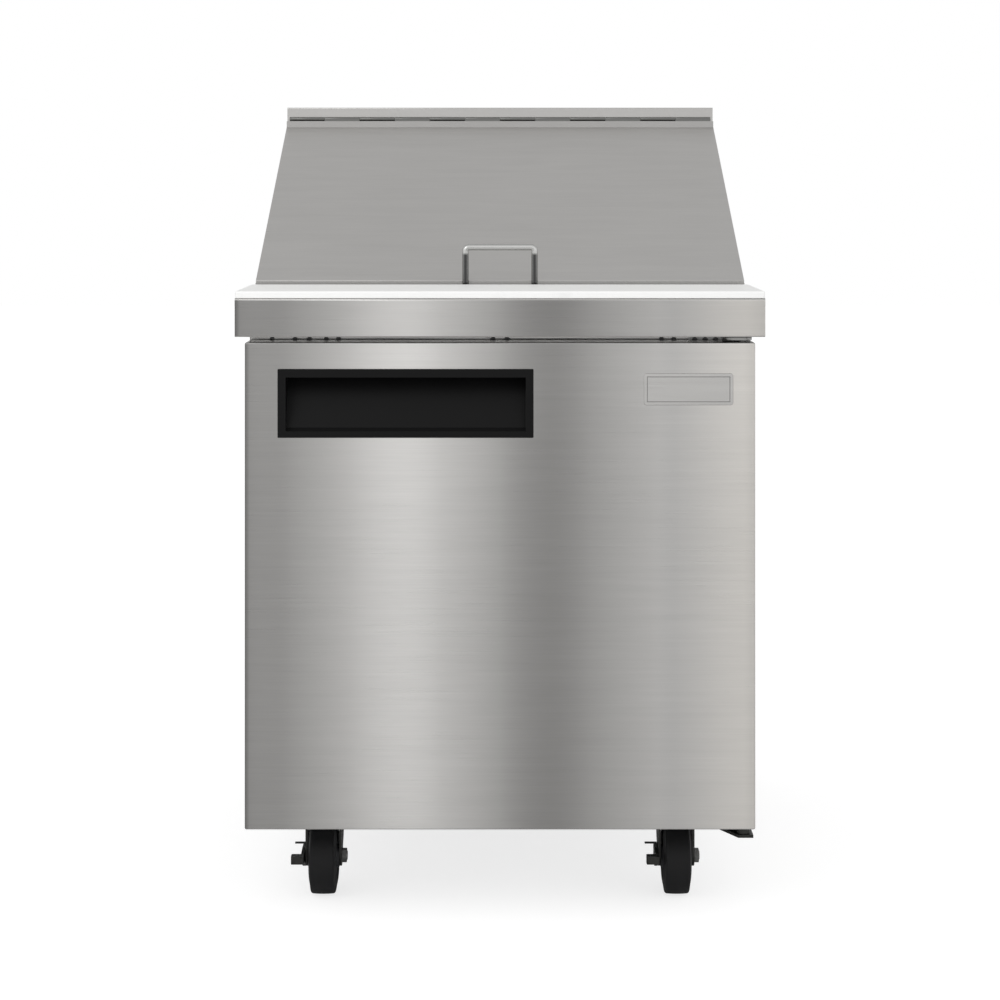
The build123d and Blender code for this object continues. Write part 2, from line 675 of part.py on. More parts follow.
HANDLE_WIRE = 4.5
PULL_HALF = 48.5
PULL_Y = -177.0
PULL_FOOT_Z = 828.0
PULL_TOP_Z = 881.7
with BuildPart() as lid_handle:
    bent_tube(
        [
            (-PULL_HALF, LID_FRONT, PULL_FOOT_Z),
            (-PULL_HALF, PULL_Y, PULL_FOOT_Z),
            (-PULL_HALF, PULL_Y, PULL_TOP_Z),
            (PULL_HALF, PULL_Y, PULL_TOP_Z),
            (PULL_HALF, PULL_Y, PULL_FOOT_Z),
            (PULL_HALF, LID_FRONT, PULL_FOOT_Z),
        ],
        5.0,
        HANDLE_WIRE,
    )
write(lid_handle, "lid_handle")

# ---------------------------------------------------------------- piano hinge of the lid
KNUCKLE_BORE = KNUCKLE_PIN + RUNNING
KNUCKLE_GAP = 0.4
knuckle_length = 2 * PIANO_HALF / KNUCKLES


def piano_leaf(leaf_y, first, tab_y):
    """A hinge leaf with every second knuckle, counted from first."""
    box_between(both(PIANO_HALF), leaf_y, (LEAF_LOW, LID_AXIS_Z - KNUCKLE - 0.4))
    for knuckle in range(first, KNUCKLES, 2):
        start = -PIANO_HALF + knuckle * knuckle_length + KNUCKLE_GAP / 2
        x_span = (start, start + knuckle_length - KNUCKLE_GAP)
        box_between(x_span, tab_y, (LID_AXIS_Z - KNUCKLE - 0.5, LID_AXIS_Z))
        rod_x(x_span, LID_AXIS_Y, LID_AXIS_Z, KNUCKLE)
    rod_x(both(PIANO_HALF), LID_AXIS_Y, LID_AXIS_Z, KNUCKLE_BORE, Mode.SUBTRACT)


with BuildPart() as lid_hinge_fixed_leaf:
    piano_leaf((HOOD_FRONT - LEAF_THICK, HOOD_FRONT), 0, (HOOD_FRONT - LEAF_THICK, LID_AXIS_Y + KNUCKLE))
write(lid_hinge_fixed_leaf, "lid_hinge_fixed_leaf")

with BuildPart() as lid_hinge_moving_leaf:
    piano_leaf((LID_BACK, LID_BACK + LEAF_THICK), 1, (LID_AXIS_Y - KNUCKLE, LID_BACK + LEAF_THICK))
write(lid_hinge_moving_leaf, "lid_hinge_moving_leaf")

with BuildPart() as lid_hinge_pin:
    rod_x(both(PIANO_HALF), LID_AXIS_Y, LID_AXIS_Z, KNUCKLE_PIN)
write(lid_hinge_pin, "lid_hinge_pin")

# ---------------------------------------------------------------- door
DOOR_EDGE = 2.4
tub_x = (HANDLE_MOUTH_X[0] - 6.0, HANDLE_MOUTH_X[1] + 6.0)
tub_z = (HANDLE_MOUTH_Z[0] - 4.0, HANDLE_MOUTH_Z[1] + 8.0)
tub_back = DOOR_FRONT + HANDLE_DEPTH + 2.5
bush_top = (DOOR_TOP - 22.0, DOOR_TOP)
bush_low = (DOOR_LOW, DOOR_LOW + 22.0)

with BuildPart() as door_outer_skin:
    box_between(both(DOOR_HALF), (DOOR_FRONT, DOOR_BACK), (DOOR_LOW, DOOR_TOP))
    fillet(door_outer_skin.edges().filter_by(Axis.Y), DOOR_EDGE)
    fillet(door_outer_skin.faces().sort_by(Axis.Y)[0].edges(), DOOR_EDGE - 0.4)
    box_between(
        both(DOOR_HALF - DOOR_SKIN),
        (DOOR_FRONT + DOOR_SKIN, DOOR_BACK),
        (DOOR_LOW + DOOR_SKIN, DOOR_TOP - DOOR_SKIN),
        Mode.SUBTRACT,
    )
    box_between(tub_x, (DOOR_FRONT, DOOR_FRONT + DOOR_SKIN), tub_z, Mode.SUBTRACT)
    rod_z(HINGE_X, HINGE_Y, (DOOR_LOW - 1.0, DOOR_TOP + 1.0), HINGE_BUSH, Mode.SUBTRACT)
write(door_outer_skin, "door_outer_skin")

DOOR_LINER = 1.5
DOOR_DIKE = 5.0
DIKE_X = 284.0
DIKE_Z = (176.0, 706.0)
with BuildPart() as door_inner_panel:
    box_between(
        both(DOOR_HALF - DOOR_SKIN),
        (DOOR_BACK - DOOR_LINER, DOOR_BACK),
        (DOOR_LOW + DOOR_SKIN, DOOR_TOP - DOOR_SKIN),
    )
    box_between(both(DIKE_X), (DOOR_BACK - DOOR_LINER, DOOR_BACK + DOOR_DIKE), DIKE_Z)
    fillet(door_inner_panel.faces().sort_by(Axis.Y)[-1].edges(), 3.0)
    box_between(
        both(DIKE_X - DOOR_LINER),
        (DOOR_BACK - DOOR_LINER, DOOR_BACK + DOOR_DIKE - DOOR_LINER),
        (DIKE_Z[0] + DOOR_LINER, DIKE_Z[1] - DOOR_LINER),
        Mode.SUBTRACT,
    )
    rod_z(HINGE_X, HINGE_Y, (DOOR_LOW - 1.0, DOOR_TOP + 1.0), HINGE_BUSH, Mode.SUBTRACT)
write(door_inner_panel, "door_inner_panel")

with BuildPart() as door_foam:
    box_between(
        both(DOOR_HALF - DOOR_SKIN - 1.4),
        (DOOR_FRONT + DOOR_SKIN + 0.1, DOOR_BACK - DOOR_LINER - 0.1),
        (DOOR_LOW + DOOR_SKIN + 1.4, DOOR_TOP - DOOR_SKIN - 1.4),
    )
    box_between(tub_x, (DOOR_FRONT, tub_back), tub_z, Mode.SUBTRACT)
    rod_z(HINGE_X, HINGE_Y, bush_top, HINGE_BUSH, Mode.SUBTRACT)
    rod_z(HINGE_X, HINGE_Y, bush_low, HINGE_BUSH, Mode.SUBTRACT)
write(door_foam, "door_foam")

GASKET_X = (303.0, 322.0)
GASKET_Z = (151.0, 746.0)
GASKET_BACK = BODY_FRONT - 1.2
gasket_width = GASKET_X[1] - GASKET_X[0]
with BuildPart() as door_gasket:
    box_between(both(GASKET_X[1]), (DOOR_BACK, GASKET_BACK), GASKET_Z)
    fillet(door_gasket.edges().filter_by(Axis.Y), 5.0)
    box_between(
        both(GASKET_X[0]),
        (DOOR_BACK, GASKET_BACK),
        (GASKET_Z[0] + gasket_width, GASKET_Z[1] - gasket_width),
        Mode.SUBTRACT,
    )
    fillet(door_gasket.faces().sort_by(Axis.Y)[-1].edges(), 2.5)
write(door_gasket, "door_gasket")

BEZEL_RADIUS = 1.2
bezel_front = DOOR_FRONT - HANDLE_PROUD
mouth_low, mouth_high = HANDLE_MOUTH_Z
pocket_back = DOOR_FRONT + HANDLE_DEPTH
handle_middle = ((HANDLE_X[0] + HANDLE_X[1]) / 2, (HANDLE_Z[0] + HANDLE_Z[1]) / 2)
front_plane = Plane(origin=(0.0, DOOR_FRONT, 0.0), x_dir=(1.0, 0.0, 0.0), z_dir=(0.0, -1.0, 0.0))
with BuildPart() as door_handle:
    with BuildSketch(front_plane) as bezel:
        with Locations(handle_middle):
            RectangleRounded(HANDLE_X[1] - HANDLE_X[0], HANDLE_Z[1] - HANDLE_Z[0], BEZEL_RADIUS)
    extrude(bezel.sketch, amount=HANDLE_PROUD)
    chamfer(door_handle.faces().sort_by(Axis.Y)[0].edges(), 0.9)
    box_between(tub_x, (DOOR_FRONT, tub_back), tub_z)
    side_profile(
        [
            (bezel_front - 1.0, mouth_low),
            (bezel_front - 1.0, mouth_high),
            (DOOR_FRONT + 3.0, mouth_high),
            (DOOR_FRONT + 7.0, mouth_high + 5.5),
            (pocket_back - 4.0, mouth_high + 5.5),
            (pocket_back, mouth_high),
            (DOOR_FRONT + 9.0, mouth_low + 4.0),
            (DOOR_FRONT + 5.0, mouth_low),
        ],
        HANDLE_MOUTH_X,
        Mode.SUBTRACT,
    )
write(door_handle, "door_handle")

BADGE_THICK = 1.5
with BuildPart() as badge_plate:
    with BuildSketch(front_plane) as badge_outline:
        with Locations((BADGE_X, BADGE_Z)):
            RectangleRounded(BADGE_SIZE[0], BADGE_SIZE[1], 4.0)
    extrude(badge_outline.sketch, amount=BADGE_THICK)
    chamfer(badge_plate.faces().sort_by(Axis.Y)[0].edges(), 0.6)
write(badge_plate, "badge_plate")

with BuildPart() as door_hinge_bushes:
    rod_z(HINGE_X, HINGE_Y, bush_top, HINGE_BUSH)
    rod_z(HINGE_X, HINGE_Y, bush_low, HINGE_BUSH)
    rod_z(HINGE_X, HINGE_Y, (bush_top[0] + 2.0, bush_top[1]), HINGE_PIN + RUNNING, Mode.SUBTRACT)
    rod_z(HINGE_X, HINGE_Y, (bush_low[0], bush_low[1] - 2.0), HINGE_PIN + RUNNING, Mode.SUBTRACT)
write(door_hinge_bushes, "door_hinge_bushes")

TOP_PLATE_Z = (763.8, 767.3)
TOP_LEAF_X = (254.0, 335.0)
TOP_PLATE_X = (298.0, 335.0)
with BuildPart() as top_hinge_bracket:
    box_between(TOP_LEAF_X, (LEAF_FRONT, BODY_FRONT), (752.0, TOP_PLATE_Z[1]))
    box_between(TOP_PLATE_X, (HINGE_Y - 12.0, LEAF_FRONT), TOP_PLATE_Z)
    fillet(top_hinge_bracket.edges().filter_by(Axis.Z).group_by(Axis.Y)[0], 9.0)
    rod_z(HINGE_X, HINGE_Y, (DOOR_TOP - 18.0, TOP_PLATE_Z[0]), HINGE_PIN)
    rod_z(HINGE_X, HINGE_Y, (DOOR_TOP + 0.4, TOP_PLATE_Z[0]), HINGE_BUSH)
    for screw_x in LEAF_SCREWS_X:
        rod_y(screw_x, (LEAF_FRONT, BODY_FRONT), FACE_SCREWS_Z, SCREW_SHANK, Mode.SUBTRACT)
write(top_hinge_bracket, "top_hinge_bracket")

LOW_PLATE_Z = (104.0, 108.0)
LOW_WEB_Y = (-304.0, -300.0)
LOW_FLANGE_BACK = -262.0
LOW_X = (284.0, 336.0)
LOW_NOSE_X = 316.0
LOW_NOSE_Y = -358.0
with BuildPart() as bottom_hinge_bracket:
    with BuildSketch(Plane.XY.offset(LOW_PLATE_Z[0])) as low_plate:
        with BuildLine():
            Polyline(
                (LOW_X[0], LOW_WEB_Y[1]),
                (LOW_NOSE_X, LOW_NOSE_Y),
                (LOW_X[1], LOW_NOSE_Y),
                (LOW_X[1], LOW_WEB_Y[1]),
                close=True,
            )
        make_face()
    extrude(low_plate.sketch, amount=LOW_PLATE_Z[1] - LOW_PLATE_Z[0])
    box_between(LOW_X, LOW_WEB_Y, (LOW_PLATE_Z[0], BODY_LOW))
    box_between(LOW_X, (LOW_WEB_Y[0], LOW_FLANGE_BACK), (BODY_LOW - PLATE_THICK, BODY_LOW))
    rod_z(HINGE_X, HINGE_Y, (LOW_PLATE_Z[1], DOOR_LOW - 0.6), HINGE_BUSH + 1.0)
    rod_z(HINGE_X, HINGE_Y, (LOW_PLATE_Z[1], DOOR_LOW + 18.0), HINGE_PIN)
    with Locations(*[(x, y, BODY_LOW) for x, y in BRACKET_SCREWS]):
        Cylinder(BOLT + RUNNING, 4 * PLATE_THICK, mode=Mode.SUBTRACT)
write(bottom_hinge_bracket, "bottom_hinge_bracket")

# ---------------------------------------------------------------- casters
RACE_RADIUS = 27.0
RACE_Z = (119.0, BODY_LOW - PLATE_THICK)
CROWN_Z = (113.0, 118.4)
KING_PIN = 6.5
with BuildPart() as caster_plates:
    for name, x, y in caster_places:
        with BuildSketch(Plane.XY.offset(BODY_LOW - PLATE_THICK)) as plate_outline:
            with Locations((x, y)):
                RectangleRounded(PLATE_SIZE[0], PLATE_SIZE[1], 6.0)
                with GridLocations(BOLT_SPACING[0], BOLT_SPACING[1], 2, 2):
                    Circle(BOLT + RUNNING, mode=Mode.SUBTRACT)
        extrude(plate_outline.sketch, amount=PLATE_THICK)
        rod_z(x, y, RACE_Z, RACE_RADIUS)
        rod_z(x, y, (CROWN_Z[0] - 7.0, RACE_Z[0]), KING_PIN)
        rod_z(x, y, (CROWN_Z[0] - 7.0, CROWN_Z[0] - 0.5), KING_PIN + 4.0)
write(caster_plates, "caster_plates")

BOLT_HEAD = 6.5
with BuildPart() as caster_bolts:
    for x, y in bolt_places:
        with BuildSketch(Plane.XY.offset(BODY_LOW - PLATE_THICK)) as bolt_head:
            with Locations((x, y)):
                RegularPolygon(BOLT_HEAD, 6, major_radius=False)
        extrude(bolt_head.sketch, amount=-5.0)
        rod_z(x, y, (BODY_LOW - PLATE_THICK, FLOOR_TOP), BOLT)
write(caster_bolts, "caster_bolts")

FORK_FOOT = 14.0
FORK_REAR = 22.0
TYRE_INSIDE = 35.0
DISH_HALF = WHEEL_HALF - 5.0
HUB_RADIUS = 15.0
NUT_HALF = 8.6
NUT_THICK = 6.5
AXLE_HEAD = 8.5
STUD = 1.0


def caster_fork(x, y):
    """Two side plates under a round crown, with the axle bolt and its nut as a second solid."""
    axle_y = y - CASTER_TRAIL
    for side in (-1, 1):
        plate_x = tuple(sorted((x + side * (FORK_HALF - FORK_SHEET), x + side * FORK_HALF)))
        side_profile(
            [
                (y + FORK_REAR, CROWN_Z[1]),
                (axle_y - FORK_FOOT, CROWN_Z[1]),
                (axle_y - FORK_FOOT, WHEEL_RADIUS),
                (axle_y + FORK_FOOT, WHEEL_RADIUS),
                (y + FORK_REAR, CROWN_Z[1] - FORK_REAR),
            ],
            plate_x,
        )
        rod_x(plate_x, axle_y, WHEEL_RADIUS, FORK_FOOT)
    box_between(
        (x - FORK_HALF, x + FORK_HALF), (axle_y - FORK_FOOT, y + FORK_REAR), CROWN_Z
    )
    rod_z(x, y, CROWN_Z, RACE_RADIUS)
    rod_z(x, y, CROWN_Z, KING_PIN + RUNNING, Mode.SUBTRACT)
    rod_x((x - FORK_HALF, x + FORK_HALF), axle_y, WHEEL_RADIUS, AXLE + RUNNING, Mode.SUBTRACT)


def caster_axle(x, y, head):
    """The axle bolt with a round head of the given length on the left and a hex nut on the right."""
    axle_y = y - CASTER_TRAIL
    rod_x((x - FORK_HALF - 0.2, x + FORK_HALF + NUT_THICK + STUD), axle_y, WHEEL_RADIUS, AXLE)
    rod_x((x - FORK_HALF - head, x - FORK_HALF - 0.1), axle_y, WHEEL_RADIUS, AXLE_HEAD)
    with BuildSketch(Plane.YZ.offset(x + FORK_HALF + 0.1)) as nut:
        with Locations((axle_y, WHEEL_RADIUS)):
            RegularPolygon(NUT_HALF, 6, major_radius=False)
    extrude(nut.sketch, amount=NUT_THICK)


def caster_wheel(x, y):
    """A solid wheel with a crowned tread and dished sides, turned about its axle."""
    axle_y = y - CASTER_TRAIL
    hub_half = WHEEL_HALF + HUB_PROUD
    side_end = (WHEEL_HALF - 2.4, WHEEL_RADIUS - 4.0)
    shoulder = (WHEEL_HALF - 3.1, WHEEL_RADIUS - 1.7)
    tread_end = (WHEEL_HALF - 5.2, WHEEL_RADIUS - 0.6)
    wheel_plane = Plane(origin=(x, axle_y, WHEEL_RADIUS), x_dir=(1.0, 0.0, 0.0), z_dir=(0.0, -1.0, 0.0))
    with BuildSketch(wheel_plane) as wheel_half:
        with BuildLine():
            Polyline(
                (-WHEEL_HALF, TYRE_INSIDE),
                (-DISH_HALF, TYRE_INSIDE - 2.0),
                (-DISH_HALF, HUB_RADIUS + 2.0),
                (-hub_half, HUB_RADIUS),
                (-hub_half, AXLE + RUNNING),
                (hub_half, AXLE + RUNNING),
                (hub_half, HUB_RADIUS),
                (DISH_HALF, HUB_RADIUS + 2.0),
                (DISH_HALF, TYRE_INSIDE - 2.0),
                (WHEEL_HALF, TYRE_INSIDE),
                side_end,
            )
            ThreePointArc(side_end, shoulder, tread_end)
            ThreePointArc(tread_end, (0.0, WHEEL_RADIUS), (-tread_end[0], tread_end[1]))
            ThreePointArc(
                (-tread_end[0], tread_end[1]), (-shoulder[0], shoulder[1]), (-side_end[0], side_end[1])
            )
            Line((-side_end[0], side_end[1]), (-WHEEL_HALF, TYRE_INSIDE))
        make_face()
    revolve(wheel_half.sketch, axis=Axis((x, axle_y, WHEEL_RADIUS), (1.0, 0.0, 0.0)))


LEVER_PLATE = 4.4
LEVER_Z = (36.0, 63.0)
LEVER_REAR = 22.0
PEDAL_FRONT = 40.0
PEDAL_DEPTH = 14.0
PEDAL_Z = (49.5, 60.0)
PEDAL_REACH = 12.8
TAB_REACH = 12.0
TAB_DEPTH = 5.0
TAB_THICK = 1.6
AXLE_HEAD_BRAKED = LEVER_PLATE + 1.4
AXLE_HEAD_PLAIN = 4.0
for name, caster_x, caster_y in caster_places:
    braked = name.startswith("front")
    with BuildPart() as axle_bolt:
        caster_axle(caster_x, caster_y, AXLE_HEAD_BRAKED if braked else AXLE_HEAD_PLAIN)
    with BuildPart() as caster_fork_part:
        caster_fork(caster_x, caster_y)
        with Locations(Location((0.0, 0.0, 0.0))):
            add(axle_bolt.part)
    write(caster_fork_part, "caster_fork_" + name)
    with BuildPart() as caster_wheel_part:
        caster_wheel(caster_x, caster_y)
    write(caster_wheel_part, "caster_wheel_" + name)

# Side brake of a front caster: a plate turning on the axle head, with a foot pedal and a release tab.
for name, caster_x, caster_y in caster_places[:2]:
    lever_x = (caster_x - FORK_HALF - 0.5 - LEVER_PLATE, caster_x - FORK_HALF - 0.5)
    lever_y = caster_y - CASTER_TRAIL
    pedal_y = (lever_y - PEDAL_FRONT, lever_y - PEDAL_FRONT + PEDAL_DEPTH)
    tab_y = (lever_y + LEVER_REAR - TAB_DEPTH, lever_y + LEVER_REAR)
    with BuildPart() as brake_lever:
        side_profile(
            [
                (pedal_y[1], PEDAL_Z[1]),
                (pedal_y[1], PEDAL_Z[0]),
                (lever_y, LEVER_Z[0]),
                (lever_y + 14.0, LEVER_Z[0] + 4.0),
                (lever_y + LEVER_REAR, LEVER_Z[1] - 8.0),
                (lever_y + LEVER_REAR, LEVER_Z[1]),
                (lever_y - 6.0, LEVER_Z[1]),
            ],
            lever_x,
        )
        box_between((lever_x[0] - PEDAL_REACH, lever_x[1]), pedal_y, PEDAL_Z)
        pedal_edges = brake_lever.edges().filter_by(Axis.Z).group_by(Axis.X)[0]
        fillet(pedal_edges, 2.5)
        box_between((lever_x[0] - TAB_REACH, lever_x[0]), tab_y, (LEVER_Z[1] - TAB_THICK, LEVER_Z[1]))
        rod_x(lever_x, lever_y, WHEEL_RADIUS, AXLE_HEAD + RUNNING, Mode.SUBTRACT)
    write(brake_lever, "brake_lever_" + name)

# ---------------------------------------------------------------- machine space
COMPRESSOR_X = -205.0
COMPRESSOR_Y = 262.0
COMPRESSOR_RADIUS = 74.0
COMPRESSOR_Z = (146.0, 318.0)
WELD_BEAD_Z = (228.0, 234.0)
TERMINAL_BOX = (34.0, 48.0, 46.0)
TERMINAL_OUT = 83.0
TERMINAL_Z = 199.0
BASE_PLATE = (168.0, 124.0, 3.0)
FOOT_SPACING = (144.0, 100.0)
foot_top = COMPRESSOR_Z[0] - 2.0
with BuildPart() as compressor:
    with BuildSketch(Plane.XZ.offset(-COMPRESSOR_Y)) as can_half:
        with BuildLine():
            FilletPolyline(
                (COMPRESSOR_X, COMPRESSOR_Z[0]),
                (COMPRESSOR_X + COMPRESSOR_RADIUS, COMPRESSOR_Z[0]),
                (COMPRESSOR_X + COMPRESSOR_RADIUS, COMPRESSOR_Z[1]),
                (COMPRESSOR_X, COMPRESSOR_Z[1]),
                radius=(14.0, 42.0),
            )
            Line((COMPRESSOR_X, COMPRESSOR_Z[1]), (COMPRESSOR_X, COMPRESSOR_Z[0]))
        make_face()
    revolve(can_half.sketch, axis=Axis((COMPRESSOR_X, COMPRESSOR_Y, 0.0), (0.0, 0.0, 1.0)))
    rod_z(COMPRESSOR_X, COMPRESSOR_Y, WELD_BEAD_Z, COMPRESSOR_RADIUS + 2.5)
    with Locations((COMPRESSOR_X + TERMINAL_OUT, COMPRESSOR_Y, TERMINAL_Z)):
        Box(*TERMINAL_BOX)
    with Locations((COMPRESSOR_X, COMPRESSOR_Y, COMPRESSOR_Z[0] - 0.5)):
        Box(BASE_PLATE[0], BASE_PLATE[1], BASE_PLATE[2])
    with Locations((COMPRESSOR_X, COMPRESSOR_Y, (FLOOR_TOP + foot_top) / 2)):
        with GridLocations(FOOT_SPACING[0], FOOT_SPACING[1], 2, 2):
            Cylinder(9.0, foot_top - FLOOR_TOP)
write(compressor, "compressor")

CONDENSER_X = (40.0, 270.0)
CONDENSER_Y = (300.0, 336.0)
CONDENSER_Z = (165.0, 405.0)


def finned_coil(x, y, z, fins, bends):
    """A fin pack: thin upright plates on a solid core, end plates, and a row of return bends."""
    core = (y[1] - y[0]) * 0.25
    middle_y = (y[0] + y[1]) / 2
    box_between(x, (middle_y - core, middle_y + core), z)
    with BuildSketch(Plane.XY.offset(z[0])) as fin_plan:
        with Locations(((x[0] + x[1]) / 2, middle_y)):
            with GridLocations((x[1] - x[0]) / fins, 1.0, fins, 1):
                Rectangle(1.2, y[1] - y[0])
    extrude(fin_plan.sketch, amount=z[1] - z[0])
    for end_x in ((x[0] - 1.5, x[0] + 1.5), (x[1] - 1.5, x[1] + 1.5)):
        box_between(end_x, y, (z[0] - 3.0, z[1] + 3.0))
    bend_pitch = (z[1] - z[0]) / bends
    for bend in range(bends):
        bend_z = z[0] + (bend + 0.5) * bend_pitch
        bend_plane = Plane(origin=(x[1], middle_y, bend_z), x_dir=(0, 0, 1), z_dir=(1, 0, 0))
        with BuildSketch(bend_plane) as tube:
            with Locations((bend_pitch / 4, 0)):
                Circle(4.0)
        revolve(
            tube.sketch,
            axis=Axis((x[1], middle_y, bend_z), (0.0, 1.0, 0.0)),
            revolution_arc=180,
        )


with BuildPart() as condenser_coil:
    finned_coil(CONDENSER_X, CONDENSER_Y, CONDENSER_Z, 36, 7)
write(condenser_coil, "condenser_coil")

FAN_X = 155.0
FAN_Z = 285.0
FAN_RADIUS = 98.0
FAN_Y = (271.0, 285.0)
SHROUD_Y = (266.0, 298.0)
SHROUD_SHEET = 2.0
STRUT_FRONT = 262.5
STRUT_HEIGHT = 6.0
STRUT_OFFSET = 14.0
FAN_HOLE_GAP = 4.0
FOOT_INSET = 10.0
FOOT_WIDTH = 16.0
MOTOR_RADIUS = 30.0
MOTOR_Y = (206.0, 262.0)
SHAFT = 4.0
with BuildPart() as condenser_fan_shroud:
    box_between(CONDENSER_X, SHROUD_Y, CONDENSER_Z)
    box_between(
        (CONDENSER_X[0] + SHROUD_SHEET, CONDENSER_X[1] - SHROUD_SHEET),
        (SHROUD_Y[0] + SHROUD_SHEET, SHROUD_Y[1]),
        (CONDENSER_Z[0] + SHROUD_SHEET, CONDENSER_Z[1] - SHROUD_SHEET),
        Mode.SUBTRACT,
    )
    shroud_front = (SHROUD_Y[0] - 1.0, SHROUD_Y[0] + SHROUD_SHEET + 1.0)
    rod_y(FAN_X, shroud_front, FAN_Z, FAN_RADIUS + FAN_HOLE_GAP, Mode.SUBTRACT)
    for foot_x in (CONDENSER_X[0] + FOOT_INSET, CONDENSER_X[1] - FOOT_INSET - FOOT_WIDTH):
        box_between((foot_x, foot_x + FOOT_WIDTH), SHROUD_Y, (FLOOR_TOP, CONDENSER_Z[0] + SHROUD_SHEET / 2))
    for strut_z in (FAN_Z - STRUT_OFFSET - STRUT_HEIGHT, FAN_Z + STRUT_OFFSET):
        box_between(CONDENSER_X, (STRUT_FRONT, SHROUD_Y[0]), (strut_z, strut_z + STRUT_HEIGHT))
write(condenser_fan_shroud, "condenser_fan_shroud")

EVAPORATOR_X = (-190.0, 190.0)
EVAPORATOR_Y = (282.0, 318.0)
EVAPORATOR_Z = (562.0, 690.0)
HOUSING_X = 240.0
HOUSING_Y = (234.0, 329.0)
HOUSING_Z = (542.0, 712.0)
COOL_FAN_Z = 627.0
COOL_FAN_RADIUS = 58.0
COOL_FAN_Y = (238.0, 248.0)
COOL_MOTOR_Y = (252.0, 280.0)
with BuildPart() as fan_motors:
    rod_y(FAN_X, MOTOR_Y, FAN_Z, MOTOR_RADIUS)
    rod_y(FAN_X, (MOTOR_Y[1], FAN_Y[1] - 3.0), FAN_Z, SHAFT)
    rod_y(0.0, COOL_MOTOR_Y, COOL_FAN_Z, 24.0)
    rod_y(0.0, (COOL_FAN_Y[0] + 3.0, COOL_MOTOR_Y[0]), COOL_FAN_Z, SHAFT)
write(fan_motors, "fan_motors")


BLADE_PITCH = math.radians(22.0)


def fan_blades(x, y, z, radius, blades, bore_y):
    """A hub with slanted blades about an axis along Y, and a blind bore for the motor shaft."""
    middle_y = (y[0] + y[1]) / 2
    blade_plane = Plane(
        origin=(x, middle_y, z),
        x_dir=(1.0, 0.0, 0.0),
        z_dir=(0.0, -math.cos(BLADE_PITCH), math.sin(BLADE_PITCH)),
    )
    with BuildSketch(blade_plane) as blade_outline:
        with BuildLine():
            Polyline(
                (radius * 0.2, -radius * 0.1),
                (radius * 0.88, -radius * 0.26),
                (radius * 0.95, radius * 0.08),
                (radius * 0.88, radius * 0.22),
                (radius * 0.2, radius * 0.1),
                close=True,
            )
        make_face()
    one_blade = extrude(blade_outline.sketch, amount=0.8, both=True, mode=Mode.PRIVATE)
    fan_axis = Axis((x, middle_y, z), (0.0, 1.0, 0.0))
    for blade in range(blades):
        add(one_blade.rotate(fan_axis, 360.0 / blades * blade))
    rod_y(x, y, z, radius * 0.26)
    rod_y(x, bore_y, z, SHAFT + RUNNING, Mode.SUBTRACT)


with BuildPart() as condenser_fan_blade:
    fan_blades(FAN_X, FAN_Y, FAN_Z, FAN_RADIUS, 5, (FAN_Y[0] - 1.0, FAN_Y[1] - 2.0))
write(condenser_fan_blade, "condenser_fan_blade")

with BuildPart() as evaporator_fan_blade:
    fan_blades(0.0, COOL_FAN_Y, COOL_FAN_Z, COOL_FAN_RADIUS, 5, (COOL_FAN_Y[0] + 2.0, COOL_FAN_Y[1] + 1.0))
write(evaporator_fan_blade, "evaporator_fan_blade")

with BuildPart() as evaporator_coil:
    finned_coil(EVAPORATOR_X, EVAPORATOR_Y, EVAPORATOR_Z, 46, 4)
write(evaporator_coil, "evaporator_coil")

EVAPORATOR_PIPES_X = (-230.0, -215.0)
EVAPORATOR_PIPE_Y = 300.0
HOUSING_HOLE = 5.5
KNOB_X = 175.0
KNOB_Z = 627.0
with BuildPart() as evaporator_housing:
    box_between(both(HOUSING_X), HOUSING_Y, HOUSING_Z)
    box_between(
        both(HOUSING_X - SKIN),
        (HOUSING_Y[0] + SKIN, HOUSING_Y[1] + 1.0),
        (HOUSING_Z[0] + SKIN, HOUSING_Z[1] - SKIN),
        Mode.SUBTRACT,
    )
    rod_y(0.0, (HOUSING_Y[0] - 1.0, HOUSING_Y[0] + 2.0), COOL_FAN_Z, COOL_FAN_RADIUS + 4.0, Mode.SUBTRACT)
    rod_y(KNOB_X, (HOUSING_Y[0] - 1.0, HOUSING_Y[0] + 2.0), KNOB_Z, SHAFT + RUNNING, Mode.SUBTRACT)
    for pipe_x in EVAPORATOR_PIPES_X:
        rod_z(pipe_x, EVAPORATOR_PIPE_Y, (HOUSING_Z[0] - 1.0, HOUSING_Z[0] + 2.0), HOUSING_HOLE, Mode.SUBTRACT)
write(evaporator_housing, "evaporator_housing")

KNOB_RADIUS = 17.0
KNOB_THICK = 8.0
GRIP = (7.0, 9.0, 30.0)
with BuildPart() as thermostat_knob:
    rod_y(KNOB_X, (HOUSING_Y[0] - KNOB_THICK, HOUSING_Y[0] - 0.5), KNOB_Z, KNOB_RADIUS)
    rod_y(KNOB_X, (HOUSING_Y[0] - 0.5, HOUSING_Y[0] + KNOB_THICK), KNOB_Z, SHAFT)
    with Locations((KNOB_X, HOUSING_Y[0] - KNOB_THICK - GRIP[1] / 2, KNOB_Z)):
        Box(*GRIP)
    fillet(thermostat_knob.faces().sort_by(Axis.Y)[0].edges(), 1.2)
write(thermostat_knob, "thermostat_knob")

PIPE = 4.0
PIPE_BEND = 8.0
DRIER_X = (-80.0, 10.0)
DRIER_Y = 215.0
DRIER_Z = 200.0
DRIER_RADIUS = 11.0
with BuildPart() as filter_drier:
    rod_x(DRIER_X, DRIER_Y, DRIER_Z, DRIER_RADIUS)
    chamfer(filter_drier.edges().filter_by(GeomType.CIRCLE), 6.0)
write(filter_drier, "filter_drier")

